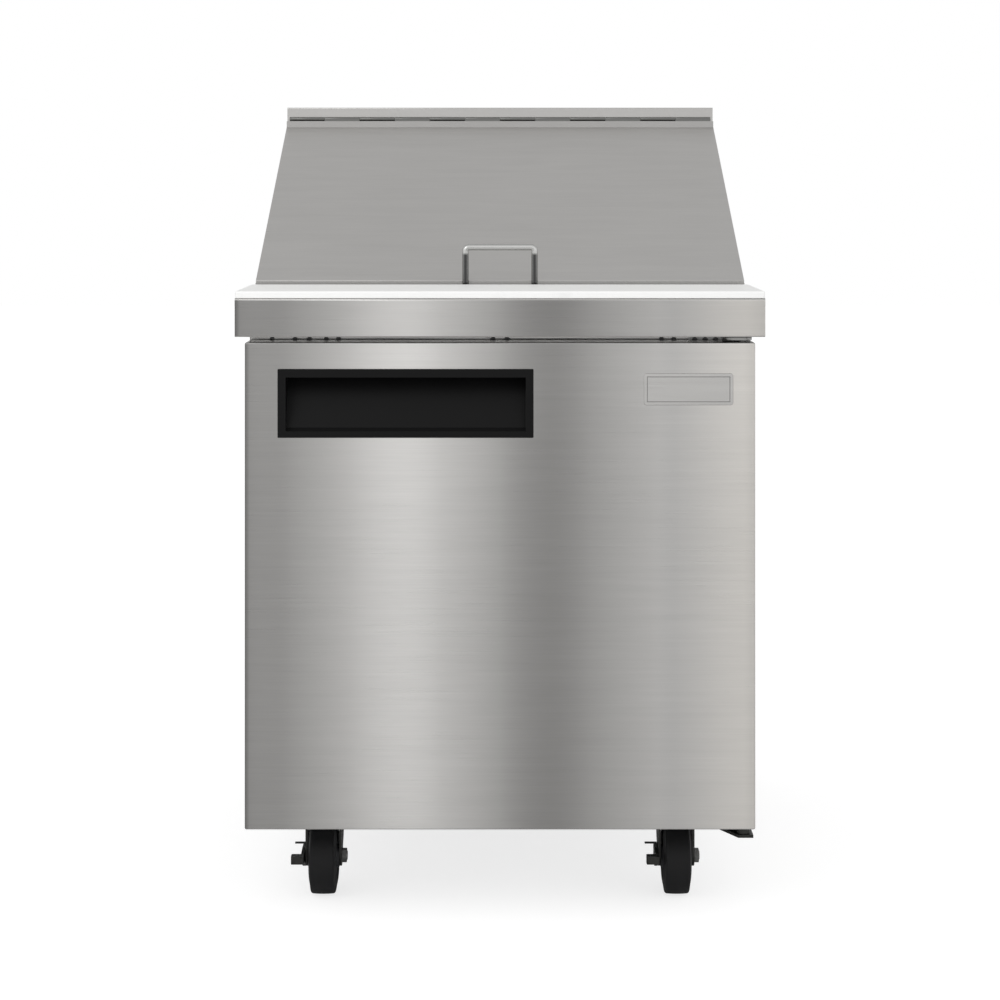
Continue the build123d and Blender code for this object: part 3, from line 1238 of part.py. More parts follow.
# Hot gas to the condenser, liquid to the drier, liquid on to the evaporator, cold gas back.
HOT_Z = 440.0
LIQUID_Z = 460.0
COLD_Z = 420.0
RISER_X = 20.0
COIL_PIPE_Y = 318.0
COIL_INLET_Z = CONDENSER_Z[1] - 13.0
COIL_OUTLET_Z = CONDENSER_Z[0] + 15.0
EVAPORATOR_INLET_Z = EVAPORATOR_Z[0] + 18.0
EVAPORATOR_OUTLET_Z = EVAPORATOR_Z[1] - 20.0
CROSSING_Z = (530.0, 524.0)
can_top = COMPRESSOR_Z[1] + 0.5
condenser_end = CONDENSER_X[0] - 2.0
evaporator_end = EVAPORATOR_X[0] - 2.0
inlet_x, outlet_x = EVAPORATOR_PIPES_X[1], EVAPORATOR_PIPES_X[0]
with BuildPart() as refrigerant_lines:
    bent_tube(
        [
            (COMPRESSOR_X + 30.0, COMPRESSOR_Y, can_top),
            (COMPRESSOR_X + 30.0, COMPRESSOR_Y, HOT_Z),
            (RISER_X, COMPRESSOR_Y, HOT_Z),
            (RISER_X, COIL_PIPE_Y, HOT_Z),
            (RISER_X, COIL_PIPE_Y, COIL_INLET_Z),
            (condenser_end, COIL_PIPE_Y, COIL_INLET_Z),
        ],
        PIPE_BEND,
        PIPE,
    )
    bent_tube(
        [
            (condenser_end, COIL_PIPE_Y, COIL_OUTLET_Z),
            (RISER_X + 4.0, COIL_PIPE_Y, COIL_OUTLET_Z),
            (RISER_X + 4.0, DRIER_Y, COIL_OUTLET_Z),
            (RISER_X + 4.0, DRIER_Y, DRIER_Z),
            (DRIER_X[1] + 0.5, DRIER_Y, DRIER_Z),
        ],
        PIPE_BEND - 2.5,
        PIPE,
    )
    bent_tube(
        [
            (DRIER_X[0] - 0.5, DRIER_Y, DRIER_Z),
            (DRIER_X[0] - 20.0, DRIER_Y, DRIER_Z),
            (DRIER_X[0] - 20.0, DRIER_Y, LIQUID_Z),
            (PIPE_X + 8.0, PIPE_Y, LIQUID_Z),
            (PIPE_X + 8.0, PIPE_Y, CROSSING_Z[0]),
            (inlet_x, EVAPORATOR_PIPE_Y, CROSSING_Z[0]),
            (inlet_x, EVAPORATOR_PIPE_Y, EVAPORATOR_INLET_Z),
            (evaporator_end, EVAPORATOR_PIPE_Y, EVAPORATOR_INLET_Z),
        ],
        PIPE_BEND,
        PIPE,
    )
    bent_tube(
        [
            (evaporator_end, EVAPORATOR_PIPE_Y, EVAPORATOR_OUTLET_Z),
            (outlet_x, EVAPORATOR_PIPE_Y, EVAPORATOR_OUTLET_Z),
            (outlet_x, EVAPORATOR_PIPE_Y, CROSSING_Z[1]),
            (PIPE_X - 8.0, PIPE_Y, CROSSING_Z[1]),
            (PIPE_X - 8.0, PIPE_Y, COLD_Z),
            (COMPRESSOR_X - 20.0, COMPRESSOR_Y, COLD_Z),
            (COMPRESSOR_X - 20.0, COMPRESSOR_Y, can_top),
        ],
        PIPE_BEND,
        PIPE,
    )
write(refrigerant_lines, "refrigerant_lines")

TRAY_X = (-100.0, 10.0)
TRAY_Y = (236.0, 332.0)
TRAY_Z = (FLOOR_TOP, FLOOR_TOP + 36.0)
TRAY_WALL = 2.0
with BuildPart() as condensate_pan:
    box_between(TRAY_X, TRAY_Y, TRAY_Z)
    fillet(condensate_pan.edges().filter_by(Axis.Z), 6.0)
    box_between(
        (TRAY_X[0] + TRAY_WALL, TRAY_X[1] - TRAY_WALL),
        (TRAY_Y[0] + TRAY_WALL, TRAY_Y[1] - TRAY_WALL),
        (TRAY_Z[0] + TRAY_WALL, TRAY_Z[1]),
        Mode.SUBTRACT,
    )
write(condensate_pan, "condensate_pan")
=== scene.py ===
import math

import bmesh
import bpy
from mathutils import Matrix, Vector


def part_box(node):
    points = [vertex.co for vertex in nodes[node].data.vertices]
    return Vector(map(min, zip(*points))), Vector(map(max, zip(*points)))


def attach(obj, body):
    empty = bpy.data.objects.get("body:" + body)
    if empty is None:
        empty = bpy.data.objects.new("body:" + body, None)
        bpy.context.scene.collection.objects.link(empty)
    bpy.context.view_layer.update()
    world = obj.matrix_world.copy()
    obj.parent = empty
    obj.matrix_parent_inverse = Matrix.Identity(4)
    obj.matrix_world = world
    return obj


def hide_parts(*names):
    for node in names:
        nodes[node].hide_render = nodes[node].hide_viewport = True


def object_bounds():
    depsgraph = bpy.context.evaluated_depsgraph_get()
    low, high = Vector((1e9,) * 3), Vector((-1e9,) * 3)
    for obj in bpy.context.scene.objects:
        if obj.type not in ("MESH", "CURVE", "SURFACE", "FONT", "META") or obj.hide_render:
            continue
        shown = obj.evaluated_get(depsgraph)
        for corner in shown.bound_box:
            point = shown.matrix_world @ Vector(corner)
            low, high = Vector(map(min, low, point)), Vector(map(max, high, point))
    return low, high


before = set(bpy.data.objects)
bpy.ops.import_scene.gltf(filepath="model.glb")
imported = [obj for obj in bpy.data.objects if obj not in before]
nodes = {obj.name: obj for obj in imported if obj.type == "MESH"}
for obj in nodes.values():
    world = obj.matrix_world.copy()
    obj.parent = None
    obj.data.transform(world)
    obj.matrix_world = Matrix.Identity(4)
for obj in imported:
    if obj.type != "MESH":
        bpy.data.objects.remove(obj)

cad_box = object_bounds()


# ---------------------------------------------------------------- node helpers
def linear(grey):
    """A display grey from 0 to 255 as linear light."""
    value = grey / 255.0
    return value / 12.92 if value <= 0.04045 else ((value + 0.055) / 1.055) ** 2.4  # the sRGB curve


def connect(tree, socket, value):
    """Links a node output to an input, or sets the input's value."""
    if isinstance(value, bpy.types.NodeSocket):
        tree.links.new(value, socket)
        return
    if socket.type == "RGBA" and len(value) == 3:
        value = (*value, 1.0)
    socket.default_value = value


def node(tree, kind, inputs=None, **settings):
    """A new node with its settings and its inputs, by name or by number."""
    made = tree.nodes.new(kind)
    for key, value in settings.items():
        setattr(made, key, value)
    for key, value in (inputs or {}).items():
        connect(tree, made.inputs[key], value)
    return made


def arithmetic(tree, operation, a, b=0.0):
    return node(tree, "ShaderNodeMath", {0: a, 1: b}, operation=operation).outputs[0]


def place(tree, scale=(1.0, 1.0, 1.0)):
    """Object coordinates, which are the table's own frame at rest, stretched by scale."""
    coordinates = node(tree, "ShaderNodeTexCoord").outputs["Object"]
    return node(tree, "ShaderNodeMapping", {"Vector": coordinates, "Scale": scale}).outputs[0]


def along_axis(tree, axis):
    """How far along one axis of the table a point lies, in metres."""
    return node(tree, "ShaderNodeSeparateXYZ", {0: place(tree)}).outputs[axis]


def noise(tree, scale, detail=3.0, roughness=0.55, stretch=(1.0, 1.0, 1.0)):
    """Noise from 0 to 1; scale is in features per metre."""
    inputs = {"Vector": place(tree, stretch), "Scale": scale, "Detail": detail, "Roughness": roughness}
    return node(tree, "ShaderNodeTexNoise", inputs).outputs[0]


def ranged(tree, value, low, high, start=0.0, end=1.0, easing="LINEAR"):
    """Turns low to high into start to end, and holds both ends."""
    inputs = {"Value": value, "From Min": low, "From Max": high, "To Min": start, "To Max": end}
    return node(tree, "ShaderNodeMapRange", inputs, interpolation_type=easing).outputs[0]


def remap(tree, value, low, high):
    """Turns 0 to 1 into low to high."""
    return ranged(tree, value, 0.0, 1.0, low, high)


def scaled_colour(tree, colour, factor):
    """Colour times a grey factor."""
    vector = node(tree, "ShaderNodeVectorMath", {0: colour}, operation="SCALE")
    connect(tree, vector.inputs["Scale"], factor)
    return vector.outputs[0]


def mixed(tree, factor, a, b):
    """Colour a at factor 0, b at factor 1."""
    return node(tree, "ShaderNodeMix", {0: factor, 6: a, 7: b}, data_type="RGBA").outputs[2]


def bump(tree, height, strength, distance):
    """A normal for a relief whose full height is distance, in metres."""
    inputs = {"Height": height, "Strength": strength, "Distance": distance}
    return node(tree, "ShaderNodeBump", inputs).outputs[0]


BEVEL_SAMPLES = 4
FLAT_LIKENESS = 0.99  # cosine between the rounded and the real normal where a face counts as flat
EDGE_LIKENESS = 0.8


def edge_mask(tree, radius):
    """1 on a sharp edge, 0 on a flat face: how far a rounded normal turns from the real one."""
    rounded = node(tree, "ShaderNodeBevel", {"Radius": radius}, samples=BEVEL_SAMPLES).outputs[0]
    flat = node(tree, "ShaderNodeNewGeometry").outputs["Normal"]
    likeness = node(tree, "ShaderNodeVectorMath", {0: rounded, 1: flat}, operation="DOT_PRODUCT")
    return ranged(tree, likeness.outputs["Value"], FLAT_LIKENESS, EDGE_LIKENESS)


def new_material(name):
    material = bpy.data.materials.new(name)
    material.use_nodes = True
    tree = material.node_tree
    return material, tree, tree.nodes["Principled BSDF"]


WARM = 0.04  # how much less blue than red the steel reflects
# Painted reflection: the bands are painted warmer towards the right.
WARM_RIGHT = 0.08
WARM_RIGHT_FROM = 0.25  # the x beyond which the bands turn warmer


def steel_tint(grey, warmth=WARM):
    """The linear colour of a display grey, a little warm."""
    level = linear(grey)
    return (level, level * (1.0 - 0.4 * warmth), level * (1.0 - warmth))


def painted_reflection_bands(tree, axis, stops):
    """Painted reflection bands: a smooth pattern of greys along one axis of the table, painted into the
    colour. Stops are (metres, display grey).
    """
    low, high = stops[0][0], stops[-1][0]
    ramp = node(tree, "ShaderNodeValToRGB", {0: ranged(tree, along_axis(tree, axis), low, high)})
    ramp.color_ramp.interpolation = "CARDINAL"
    elements = ramp.color_ramp.elements
    while len(elements) > 1:
        elements.remove(elements[-1])
    for count, (metres, grey) in enumerate(stops):
        position = (metres - low) / (high - low)
        element = elements[0] if count == 0 else elements.new(position)
        element.position = position
        warmth = WARM_RIGHT if axis == 0 and metres > WARM_RIGHT_FROM else WARM
        element.color = (*steel_tint(grey, warmth), 1.0)
    return ramp.outputs[0]


def facing(tree, axis, low, high):
    """0 to 1 as the surface turns towards the positive or negative end of an object axis."""
    normal = node(tree, "ShaderNodeTexCoord").outputs["Normal"]
    turned = node(tree, "ShaderNodeSeparateXYZ", {0: normal}).outputs[axis]
    return ranged(tree, arithmetic(tree, "ABSOLUTE", turned), low, high, easing="SMOOTHSTEP")


# ---------------------------------------------------------------- materials
STUCCO = 160.0  # pebbles per metre of the embossed liner sheet
STREAK_WIDTH = 0.12  # how often a broad streak repeats beside the fine brush lines
BRUSH = (8.0, 260.0, 900.0)  # stretch of the brush lines on x, y and z
DRAW_LINES = (900.0, 900.0, 25.0)  # the same for the lines left on a deep-drawn pan
WORN_STEEL = (0.86, 0.86, 0.85)
EDGE_RADIUS = 0.0012  # how far from a sharp edge the wear reaches
RELIEF_DEPTH = 0.0002


def brush_lines(tree, across):
    """Long thin streaks along x; on the faces that look sideways they run along y instead."""
    front = noise(tree, 1.0, detail=2.0, roughness=0.6, stretch=across)
    side = noise(tree, 1.0, detail=2.0, roughness=0.6, stretch=(across[1], across[0], across[2]))
    inputs = {0: facing(tree, 0, 0.6, 0.9), 2: front, 3: side}
    return node(tree, "ShaderNodeMix", inputs, data_type="FLOAT").outputs[0]


def brushed_steel(name, colour, roughness=0.3, anisotropy=0.7, grain=0.06, across=BRUSH, turned=None,
                  relief=0.12):
    """Sheet steel with fine brush lines; across is the stretch of the lines on each axis.

    turned is a painted reflection: the colour painted on the faces that look up or sideways, for the light
    they mirror; without it they are like the front.
    relief is the strength of the bump that the brush lines make.
    """
    material, tree, shader = new_material(name)
    fine = brush_lines(tree, across)
    broad = noise(tree, 3.0, detail=2.0, roughness=0.5)
    streaks = brush_lines(tree, (across[0], across[1] * STREAK_WIDTH, across[2] * STREAK_WIDTH))
    lines = remap(tree, fine, 1.0 - grain, 1.0 + grain)
    cloud = arithmetic(tree, "MULTIPLY", remap(tree, broad, 0.97, 1.03), remap(tree, streaks, 0.955, 1.045))
    tone = arithmetic(tree, "MULTIPLY", lines, cloud)
    face = colour(tree) if callable(colour) else colour
    rough = arithmetic(tree, "ADD", remap(tree, fine, roughness - 0.06, roughness + 0.06),
                       remap(tree, broad, -0.03, 0.03))
    if turned:
        # Painted reflection: faces that look up or sideways are painted the turned colour.
        sideways = arithmetic(tree, "MAXIMUM", facing(tree, 2, 0.15, 0.6), facing(tree, 0, 0.8, 0.98))
        face = mixed(tree, sideways, face, turned)
        rough = arithmetic(tree, "MULTIPLY", rough, remap(tree, sideways, 1.0, 0.5))
    wear = arithmetic(tree, "MULTIPLY", edge_mask(tree, EDGE_RADIUS), 0.12)
    base = scaled_colour(tree, face, tone)
    connect(tree, shader.inputs["Base Color"], mixed(tree, wear, base, WORN_STEEL))
    connect(tree, shader.inputs["Metallic"], 1.0)
    connect(tree, shader.inputs["Roughness"], rough)
    connect(tree, shader.inputs["Anisotropic"], anisotropy)
    upward = node(tree, "ShaderNodeVectorTransform", {0: (0.0, 0.3, 1.0)},
                  vector_type="VECTOR", convert_from="OBJECT", convert_to="WORLD").outputs[0]
    connect(tree, shader.inputs["Tangent"], upward)
    connect(tree, shader.inputs["Normal"], bump(tree, fine, relief, RELIEF_DEPTH))
    return material


def plated_metal(name, colour, roughness, spots, contrast, emboss=0.0):
    """Zinc plate, galvanised sheet or bare aluminium: mottled, with brighter edges.

    spots is in crystals per metre, contrast is how far their tones differ, and emboss is the height of the
    pebbles pressed into the sheet.
    """
    material, tree, shader = new_material(name)
    cells = node(tree, "ShaderNodeTexVoronoi", {"Vector": place(tree), "Scale": spots})
    crystal = node(tree, "ShaderNodeSeparateXYZ", {0: cells.outputs["Color"]}).outputs[0]
    cloud = noise(tree, spots * 0.4, detail=4.0)
    tone = arithmetic(tree, "ADD", remap(tree, cloud, 1.0 - contrast, 1.0),
                      remap(tree, crystal, -0.5 * contrast, 0.5 * contrast))
    base = scaled_colour(tree, colour(tree) if callable(colour) else colour, tone)
    worn = scaled_colour(tree, base, 1.35)
    wear = arithmetic(tree, "MULTIPLY", edge_mask(tree, 0.001), 0.5)
    connect(tree, shader.inputs["Base Color"], mixed(tree, wear, base, worn))
    connect(tree, shader.inputs["Metallic"], 1.0)
    connect(tree, shader.inputs["Roughness"], remap(tree, cloud, roughness - 0.08, roughness + 0.1))
    pebbles = arithmetic(tree, "MULTIPLY", noise(tree, STUCCO, detail=1.0), emboss)
    height = arithmetic(tree, "ADD", arithmetic(tree, "MULTIPLY", cloud, 0.1), pebbles)
    connect(tree, shader.inputs["Normal"], bump(tree, height, 1.0, 0.0003))
    return material


def moulded_plastic(name, colour, roughness=0.5, grain=1800.0, depth=0.15, coat=0.0, shine=0.5):
    """Moulded plastic with a fine leather-like grain and slightly paler edges."""
    material, tree, shader = new_material(name)
    fine = noise(tree, grain, detail=2.0)
    broad = noise(tree, 12.0)
    base = scaled_colour(tree, colour, remap(tree, broad, 0.9, 1.1))
    worn = tuple(min(1.0, channel * 1.5 + 0.02) for channel in colour)
    wear = arithmetic(tree, "MULTIPLY", edge_mask(tree, EDGE_RADIUS), 0.4)
    connect(tree, shader.inputs["Base Color"], mixed(tree, wear, base, worn))
    connect(tree, shader.inputs["Roughness"], remap(tree, broad, roughness - 0.07, roughness + 0.07))
    connect(tree, shader.inputs["Coat Weight"], coat)
    connect(tree, shader.inputs["Specular IOR Level"], shine)
    connect(tree, shader.inputs["Normal"], bump(tree, fine, depth, RELIEF_DEPTH))
    return material


def cutting_board_poly(name):
    """White polyethylene: fine matt texture, faint knife lines and soft stains on top."""
    material, tree, shader = new_material(name)
    fine = noise(tree, 900.0)
    broad = noise(tree, 9.0, detail=4.0)
    lengthwise = noise(tree, 1.0, detail=1.0, roughness=0.5, stretch=(18.0, 700.0, 18.0))
    crosswise = noise(tree, 1.0, detail=1.0, roughness=0.5, stretch=(620.0, 30.0, 18.0))
    cuts = ranged(tree, arithmetic(tree, "MAXIMUM", lengthwise, crosswise), 0.72, 0.8)
    darker = arithmetic(tree, "MULTIPLY", cuts, 0.05)
    shade = arithmetic(tree, "SUBTRACT", remap(tree, broad, 0.955, 1.0), darker)
    connect(tree, shader.inputs["Base Color"], scaled_colour(tree, (0.93, 0.93, 0.92), shade))
    connect(tree, shader.inputs["Roughness"], remap(tree, fine, 0.4, 0.55))
    height = arithmetic(tree, "SUBTRACT", arithmetic(tree, "MULTIPLY", fine, 0.4), cuts)
    connect(tree, shader.inputs["Normal"], bump(tree, height, 0.2, 0.0003))
    return material


def wheel_rubber(name, axle):
    """Black tread with fine mould lines; the hub inside the tyre is grey nylon."""
    material, tree, shader = new_material(name)
    from_y = arithmetic(tree, "SUBTRACT", along_axis(tree, 1), axle.y)
    from_z = arithmetic(tree, "SUBTRACT", along_axis(tree, 2), axle.z)
    squares = [arithmetic(tree, "POWER", offset, 2.0) for offset in (from_y, from_z)]
    radius = arithmetic(tree, "SQRT", arithmetic(tree, "ADD", *squares))
    tyre = ranged(tree, radius, TYRE_RADIUS - 0.001, TYRE_RADIUS)
    broad = noise(tree, 40.0, detail=4.0)
    fine = noise(tree, 1400.0, detail=2.0)
    rubber = scaled_colour(tree, (0.008, 0.008, 0.0085), remap(tree, broad, 0.7, 1.4))
    hub = scaled_colour(tree, (0.035, 0.035, 0.037), remap(tree, broad, 0.85, 1.1))
    connect(tree, shader.inputs["Specular IOR Level"], 0.2)
    connect(tree, shader.inputs["Base Color"], mixed(tree, tyre, hub, rubber))
    connect(tree, shader.inputs["Roughness"], remap(tree, broad, 0.5, 0.72))
    connect(tree, shader.inputs["Normal"], bump(tree, fine, 0.25, RELIEF_DEPTH))
    return material


def caster_zinc_with_glint(name, centre_x):
    """Dark zinc on the fork; the axle's head and nut, which stand outside it, are painted brighter, a
    painted highlight.
    """
    def colour(tree):
        offset = arithmetic(tree, "SUBTRACT", along_axis(tree, 0), centre_x)
        # Painted highlight: the head and nut beyond the fork's legs take the brighter zinc.
        outside = ranged(tree, arithmetic(tree, "ABSOLUTE", offset), FORK_HALF, FORK_HALF + 0.0008)
        return mixed(tree, outside, (0.05, 0.05, 0.048), (0.24, 0.24, 0.235))

    return plated_metal(name, colour, 0.4, 90.0, 0.2)


def rigid_foam(name):
    """Yellow-brown insulation with fine cells."""
    material, tree, shader = new_material(name)
    cells = node(tree, "ShaderNodeTexVoronoi", {"Vector": place(tree), "Scale": 500.0}).outputs["Distance"]
    connect(tree, shader.inputs["Base Color"],
            scaled_colour(tree, (0.82, 0.72, 0.45), remap(tree, cells, 0.8, 1.1)))
    connect(tree, shader.inputs["Roughness"], remap(tree, cells, 0.8, 0.95))
    connect(tree, shader.inputs["Normal"], bump(tree, cells, 0.4, 0.0005))
    return material


PULL_ROD = 0.009  # thickness of the lid's wire handle
FORK_HALF = 0.0246  # from a fork's middle to the outside of its legs
TYRE_RADIUS = 0.0345  # where the tyre meets the hub

# Greys of the painted reflection bands that cross the front, from the left edge to the right one: the soft
# light and shade of the mirrored room, painted into the steel's colour.
FRONT_REFLECTION_BANDS = [
    (-0.3385, 110), (-0.3345, 112), (-0.3310, 138), (-0.276, 148), (-0.197, 179), (-0.131, 200),
    (-0.078, 187), (0.0, 157), (0.06, 132), (0.119, 148), (0.198, 171), (0.238, 174), (0.317, 194),
    (0.3385, 186),
]
# The first stops paint a reflection that darkens the left edge.
LEFT_EDGE_STOPS = 3  # the first bands, which lie on the left edge
# Greys of the painted reflection bands along each side panel, from front to back.
SIDE_REFLECTION_BANDS = [(-0.31, 150), (-0.22, 176), (-0.08, 196), (0.1, 168), (0.25, 150), (0.37, 182)]
# Painted reflection: the counter's nose and the faces that look up or sideways are painted a lighter grey.
NOSE_REFLECTION_COLOUR = steel_tint(184)
DOOR_LIFT = 1.15  # the door mirrors the floor as well as the room, and the floor is dimmer


def counter_reflection_bands():
    """The front's painted reflection bands, stretched to the wider counter."""
    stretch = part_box("counter_top")[1][0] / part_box("door_outer_skin")[1][0]
    widened = [(metres * stretch, grey) for metres, grey in FRONT_REFLECTION_BANDS]
    return widened[:LEFT_EDGE_STOPS] + FRONT_REFLECTION_BANDS[LEFT_EDGE_STOPS:-1] + widened[-1:]


def reflection_banded_steel(name, axis, stops, lift=1.0, **settings):
    """Brushed sheet with a painted reflection: broad soft bands, such as a slightly bowed sheet mirrors,
    painted up the face into its colour.
    """
    def colour(tree):
        return scaled_colour(tree, painted_reflection_bands(tree, axis, stops), lift)

    return brushed_steel(name, colour, **settings)


def lid_sheet(name):
    """The lid's sheet in painted light and shade: upright folds mirror the bright room, so they are painted
    darker than the slope.
    """
    def colour(tree):
        return mixed(tree, facing(tree, 2, 0.3, 0.8), steel_tint(163), steel_tint(207))

    return brushed_steel(name, colour, 0.32, 0.6, 0.05)


def pull_steel(name):
    """Polished round bar with a painted reflection: the dark side of the room, painted down the middle of
    its upright legs.
    """
    right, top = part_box("lid_handle")[1][0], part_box("lid_handle")[1][2]
    half = PULL_ROD / 2

    def colour(tree):
        across = arithmetic(tree, "ABSOLUTE", along_axis(tree, 0))
        off_middle = arithmetic(tree, "ABSOLUTE", arithmetic(tree, "SUBTRACT", across, right - half))
        # Painted reflection: a stripe down each leg's middle, stopping below the bend.
        core = ranged(tree, off_middle, 0.25 * half, 0.75 * half, 1.0, 0.62)
        below_bend = ranged(tree, along_axis(tree, 2), top - 2.6 * half, top - 3.4 * half)
        dark = arithmetic(tree, "MULTIPLY", core, below_bend)
        return mixed(tree, dark, (0.50, 0.50, 0.49), (0.06, 0.06, 0.06))

    return brushed_steel(name, colour, 0.2, 0.0, 0.03)


# Painted reflection: each steel's turned grey is painted on its faces that look up or sideways.
front_steel = reflection_banded_steel("front_steel", 0, FRONT_REFLECTION_BANDS, DOOR_LIFT, turned=steel_tint(176))
counter_steel = reflection_banded_steel("counter_steel", 0, counter_reflection_bands(), turned=NOSE_REFLECTION_COLOUR)
side_steel = reflection_banded_steel("side_steel", 1, SIDE_REFLECTION_BANDS)
frame_steel = brushed_steel("frame_steel", steel_tint(170), 0.14, 0.4, 0.06)
lid_steel = lid_sheet("lid_steel")
hood_steel = brushed_steel("hood_steel", steel_tint(178), 0.3, 0.6, 0.05)
# Painted shade: the hinge's steel is painted a deep grey, for the shadowed seam between the hood and the
# lid.
hinge_shade_steel = brushed_steel("hinge_shade_steel", (0.15, 0.15, 0.145), 0.3, 0.2, 0.1)
pull = pull_steel("pull_steel")
badge_steel = brushed_steel("badge_steel", steel_tint(186), 0.24, 0.5, 0.05)
pan_steel = brushed_steel("pan_steel", (0.66, 0.66, 0.65), 0.24, 0.3, 0.02, DRAW_LINES, relief=0.02)
galvanised = plated_metal("galvanised", (0.53, 0.54, 0.55), 0.42, 110.0, 0.16)
aluminium = plated_metal("liner_aluminium", (0.76, 0.77, 0.78), 0.36, 120.0, 0.06, emboss=1.0)
zinc = plated_metal("zinc_plate", (0.42, 0.42, 0.41), 0.36, 90.0, 0.15)
fins = plated_metal("fin_aluminium", (0.68, 0.69, 0.7), 0.4, 200.0, 0.1)
copper = plated_metal("copper", (0.72, 0.36, 0.2), 0.3, 90.0, 0.18)
polished = plated_metal("polished_steel", (0.72, 0.72, 0.70), 0.16, 160.0, 0.05)
board_poly = cutting_board_poly("cutting_board_poly")
black_plastic = moulded_plastic("black_plastic", (0.0036, 0.0036, 0.0037), 0.42, shine=0.12)
grey_plastic = moulded_plastic("grey_plastic", (0.32, 0.32, 0.33), 0.5)
gasket_rubber = moulded_plastic("gasket_rubber", (0.11, 0.11, 0.115), 0.65, 900.0, shine=0.25)
dark_screw = plated_metal("dark_screw", (0.09, 0.09, 0.09), 0.4, 200.0, 0.1)
black_paint = moulded_plastic("black_paint", (0.015, 0.015, 0.016), 0.28, 600.0, 0.08, 0.4)
epoxy_wire = moulded_plastic("epoxy_wire", (0.75, 0.75, 0.73), 0.4, 700.0, 0.08, 0.3)
# Painted shade: zinc painted near black for the bottom hinge bracket in the shade beneath the door; the
# brake levers share it.
shade_dark_zinc = plated_metal("shade_dark_zinc", (0.045, 0.045, 0.043), 0.42, 90.0, 0.2)
badge_edge = brushed_steel("badge_edge", steel_tint(140), 0.24, 0.5, 0.1)
foam = rigid_foam("rigid_foam")

NODE_MATERIALS = {
    "side_panel_left": side_steel,
    "side_panel_right": side_steel,
    "floor_panel": galvanised,
    "face_frame": frame_steel,
    "inner_liner": aluminium,
    "insulation": foam,
    "rear_upper_panel": galvanised,
    "rear_grille": galvanised,
    "counter_top": counter_steel,
    "board_pins": polished,
    "pan_divider_bar": pan_steel,
    "food_pans": pan_steel,
    "shelf_supports": zinc,
    "wire_shelf": epoxy_wire,
    "hood_housing": hood_steel,
    "hood_foam": foam,
    "lid_hinge_fixed_leaf": hinge_shade_steel,
    "lid_hinge_pin": hinge_shade_steel,
    "top_hinge_bracket": zinc,
    "bottom_hinge_bracket": shade_dark_zinc,
    "face_screws": dark_screw,
    "caster_plates": zinc,
    "caster_bolts": zinc,
    "compressor": black_paint,
    "condenser_coil": fins,
    "condenser_fan_shroud": galvanised,
    "fan_motors": black_paint,
    "filter_drier": copper,
    "refrigerant_lines": copper,
    "condensate_pan": grey_plastic,
    "evaporator_coil": fins,
    "evaporator_housing": aluminium,
    "power_cord": black_plastic,
    "door_outer_skin": front_steel,
    "door_inner_panel": aluminium,
    "door_foam": foam,
    "door_gasket": gasket_rubber,
    "door_handle": black_plastic,
    "badge_plate": badge_steel,
    "door_hinge_bushes": grey_plastic,
    "lid_outer_skin": lid_steel,
    "lid_inner_panel": lid_steel,
    "lid_foam": foam,
    "lid_handle": pull,
    "lid_hinge_moving_leaf": hinge_shade_steel,
    "cutting_board": board_poly,
    "condenser_fan_blade": grey_plastic,
    "evaporator_fan_blade": grey_plastic,
    "thermostat_knob": black_plastic,
    "power_rocker": black_plastic,
}
CASTERS = ("front_left", "front_right", "rear_left", "rear_right")
for caster in CASTERS:
    low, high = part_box("caster_wheel_" + caster)
    axle = (low + high) / 2
    NODE_MATERIALS["caster_wheel_" + caster] = wheel_rubber("wheel_rubber_" + caster, axle)
    NODE_MATERIALS["caster_fork_" + caster] = caster_zinc_with_glint("fork_zinc_" + caster, axle.x)
for caster in CASTERS[:2]:
    NODE_MATERIALS["brake_lever_" + caster] = shade_dark_zinc

for name, cad_node in nodes.items():
    cad_node.data.materials.clear()
    cad_node.data.materials.append(NODE_MATERIALS[name])


# ---------------------------------------------------------------- softened edges on the CAD nodes
EDGE_ROUNDING = {
    "cutting_board": 0.0,
    "door_handle": 0.0006,
    "counter_top": 0.0005,
    "lid_outer_skin": 0.0005,
    "hood_housing": 0.0005,
}
DEFAULT_ROUNDING = 0.0003
SHARP = math.radians(34.0)  # edges that turn by more than this are rounded
SAME_POINT = 0.00001


def soften(piece, width):
    rounding = piece.modifiers.new("edge_rounding", "BEVEL")
    rounding.width = width
    rounding.segments = 2
    rounding.limit_method = "ANGLE"
    rounding.angle_limit = SHARP
    rounding.harden_normals = True


for name, cad_node in nodes.items():
    weld = cad_node.modifiers.new("weld", "WELD")
    weld.merge_threshold = SAME_POINT
    width = EDGE_ROUNDING.get(name, DEFAULT_ROUNDING)
    if width > 0.0:
        soften(cad_node, width)


# ---------------------------------------------------------------- small parts that finish the table
UP = Vector((0, 0, 1))
MM_PER_METRE = 1000


def add_mesh(name, build, material, body):
    """A new piece from a function that fills a bmesh; it rides on a body of the frame."""
    mesh = bpy.data.meshes.new(name)
    work = bmesh.new()
    build(work)
    bmesh.ops.recalc_face_normals(work, faces=work.faces)
    work.to_mesh(mesh)
    work.free()
    mesh.materials.append(material)
    piece = bpy.data.objects.new(name, mesh)
    bpy.context.scene.collection.objects.link(piece)
    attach(piece, body)
    return piece


def circle(count, radius=1.0):
    """Points on a circle about z, as vectors."""
    angles = [2 * math.pi * step / count for step in range(count)]
    return [Vector((radius * math.cos(angle), radius * math.sin(angle), 0)) for angle in angles]


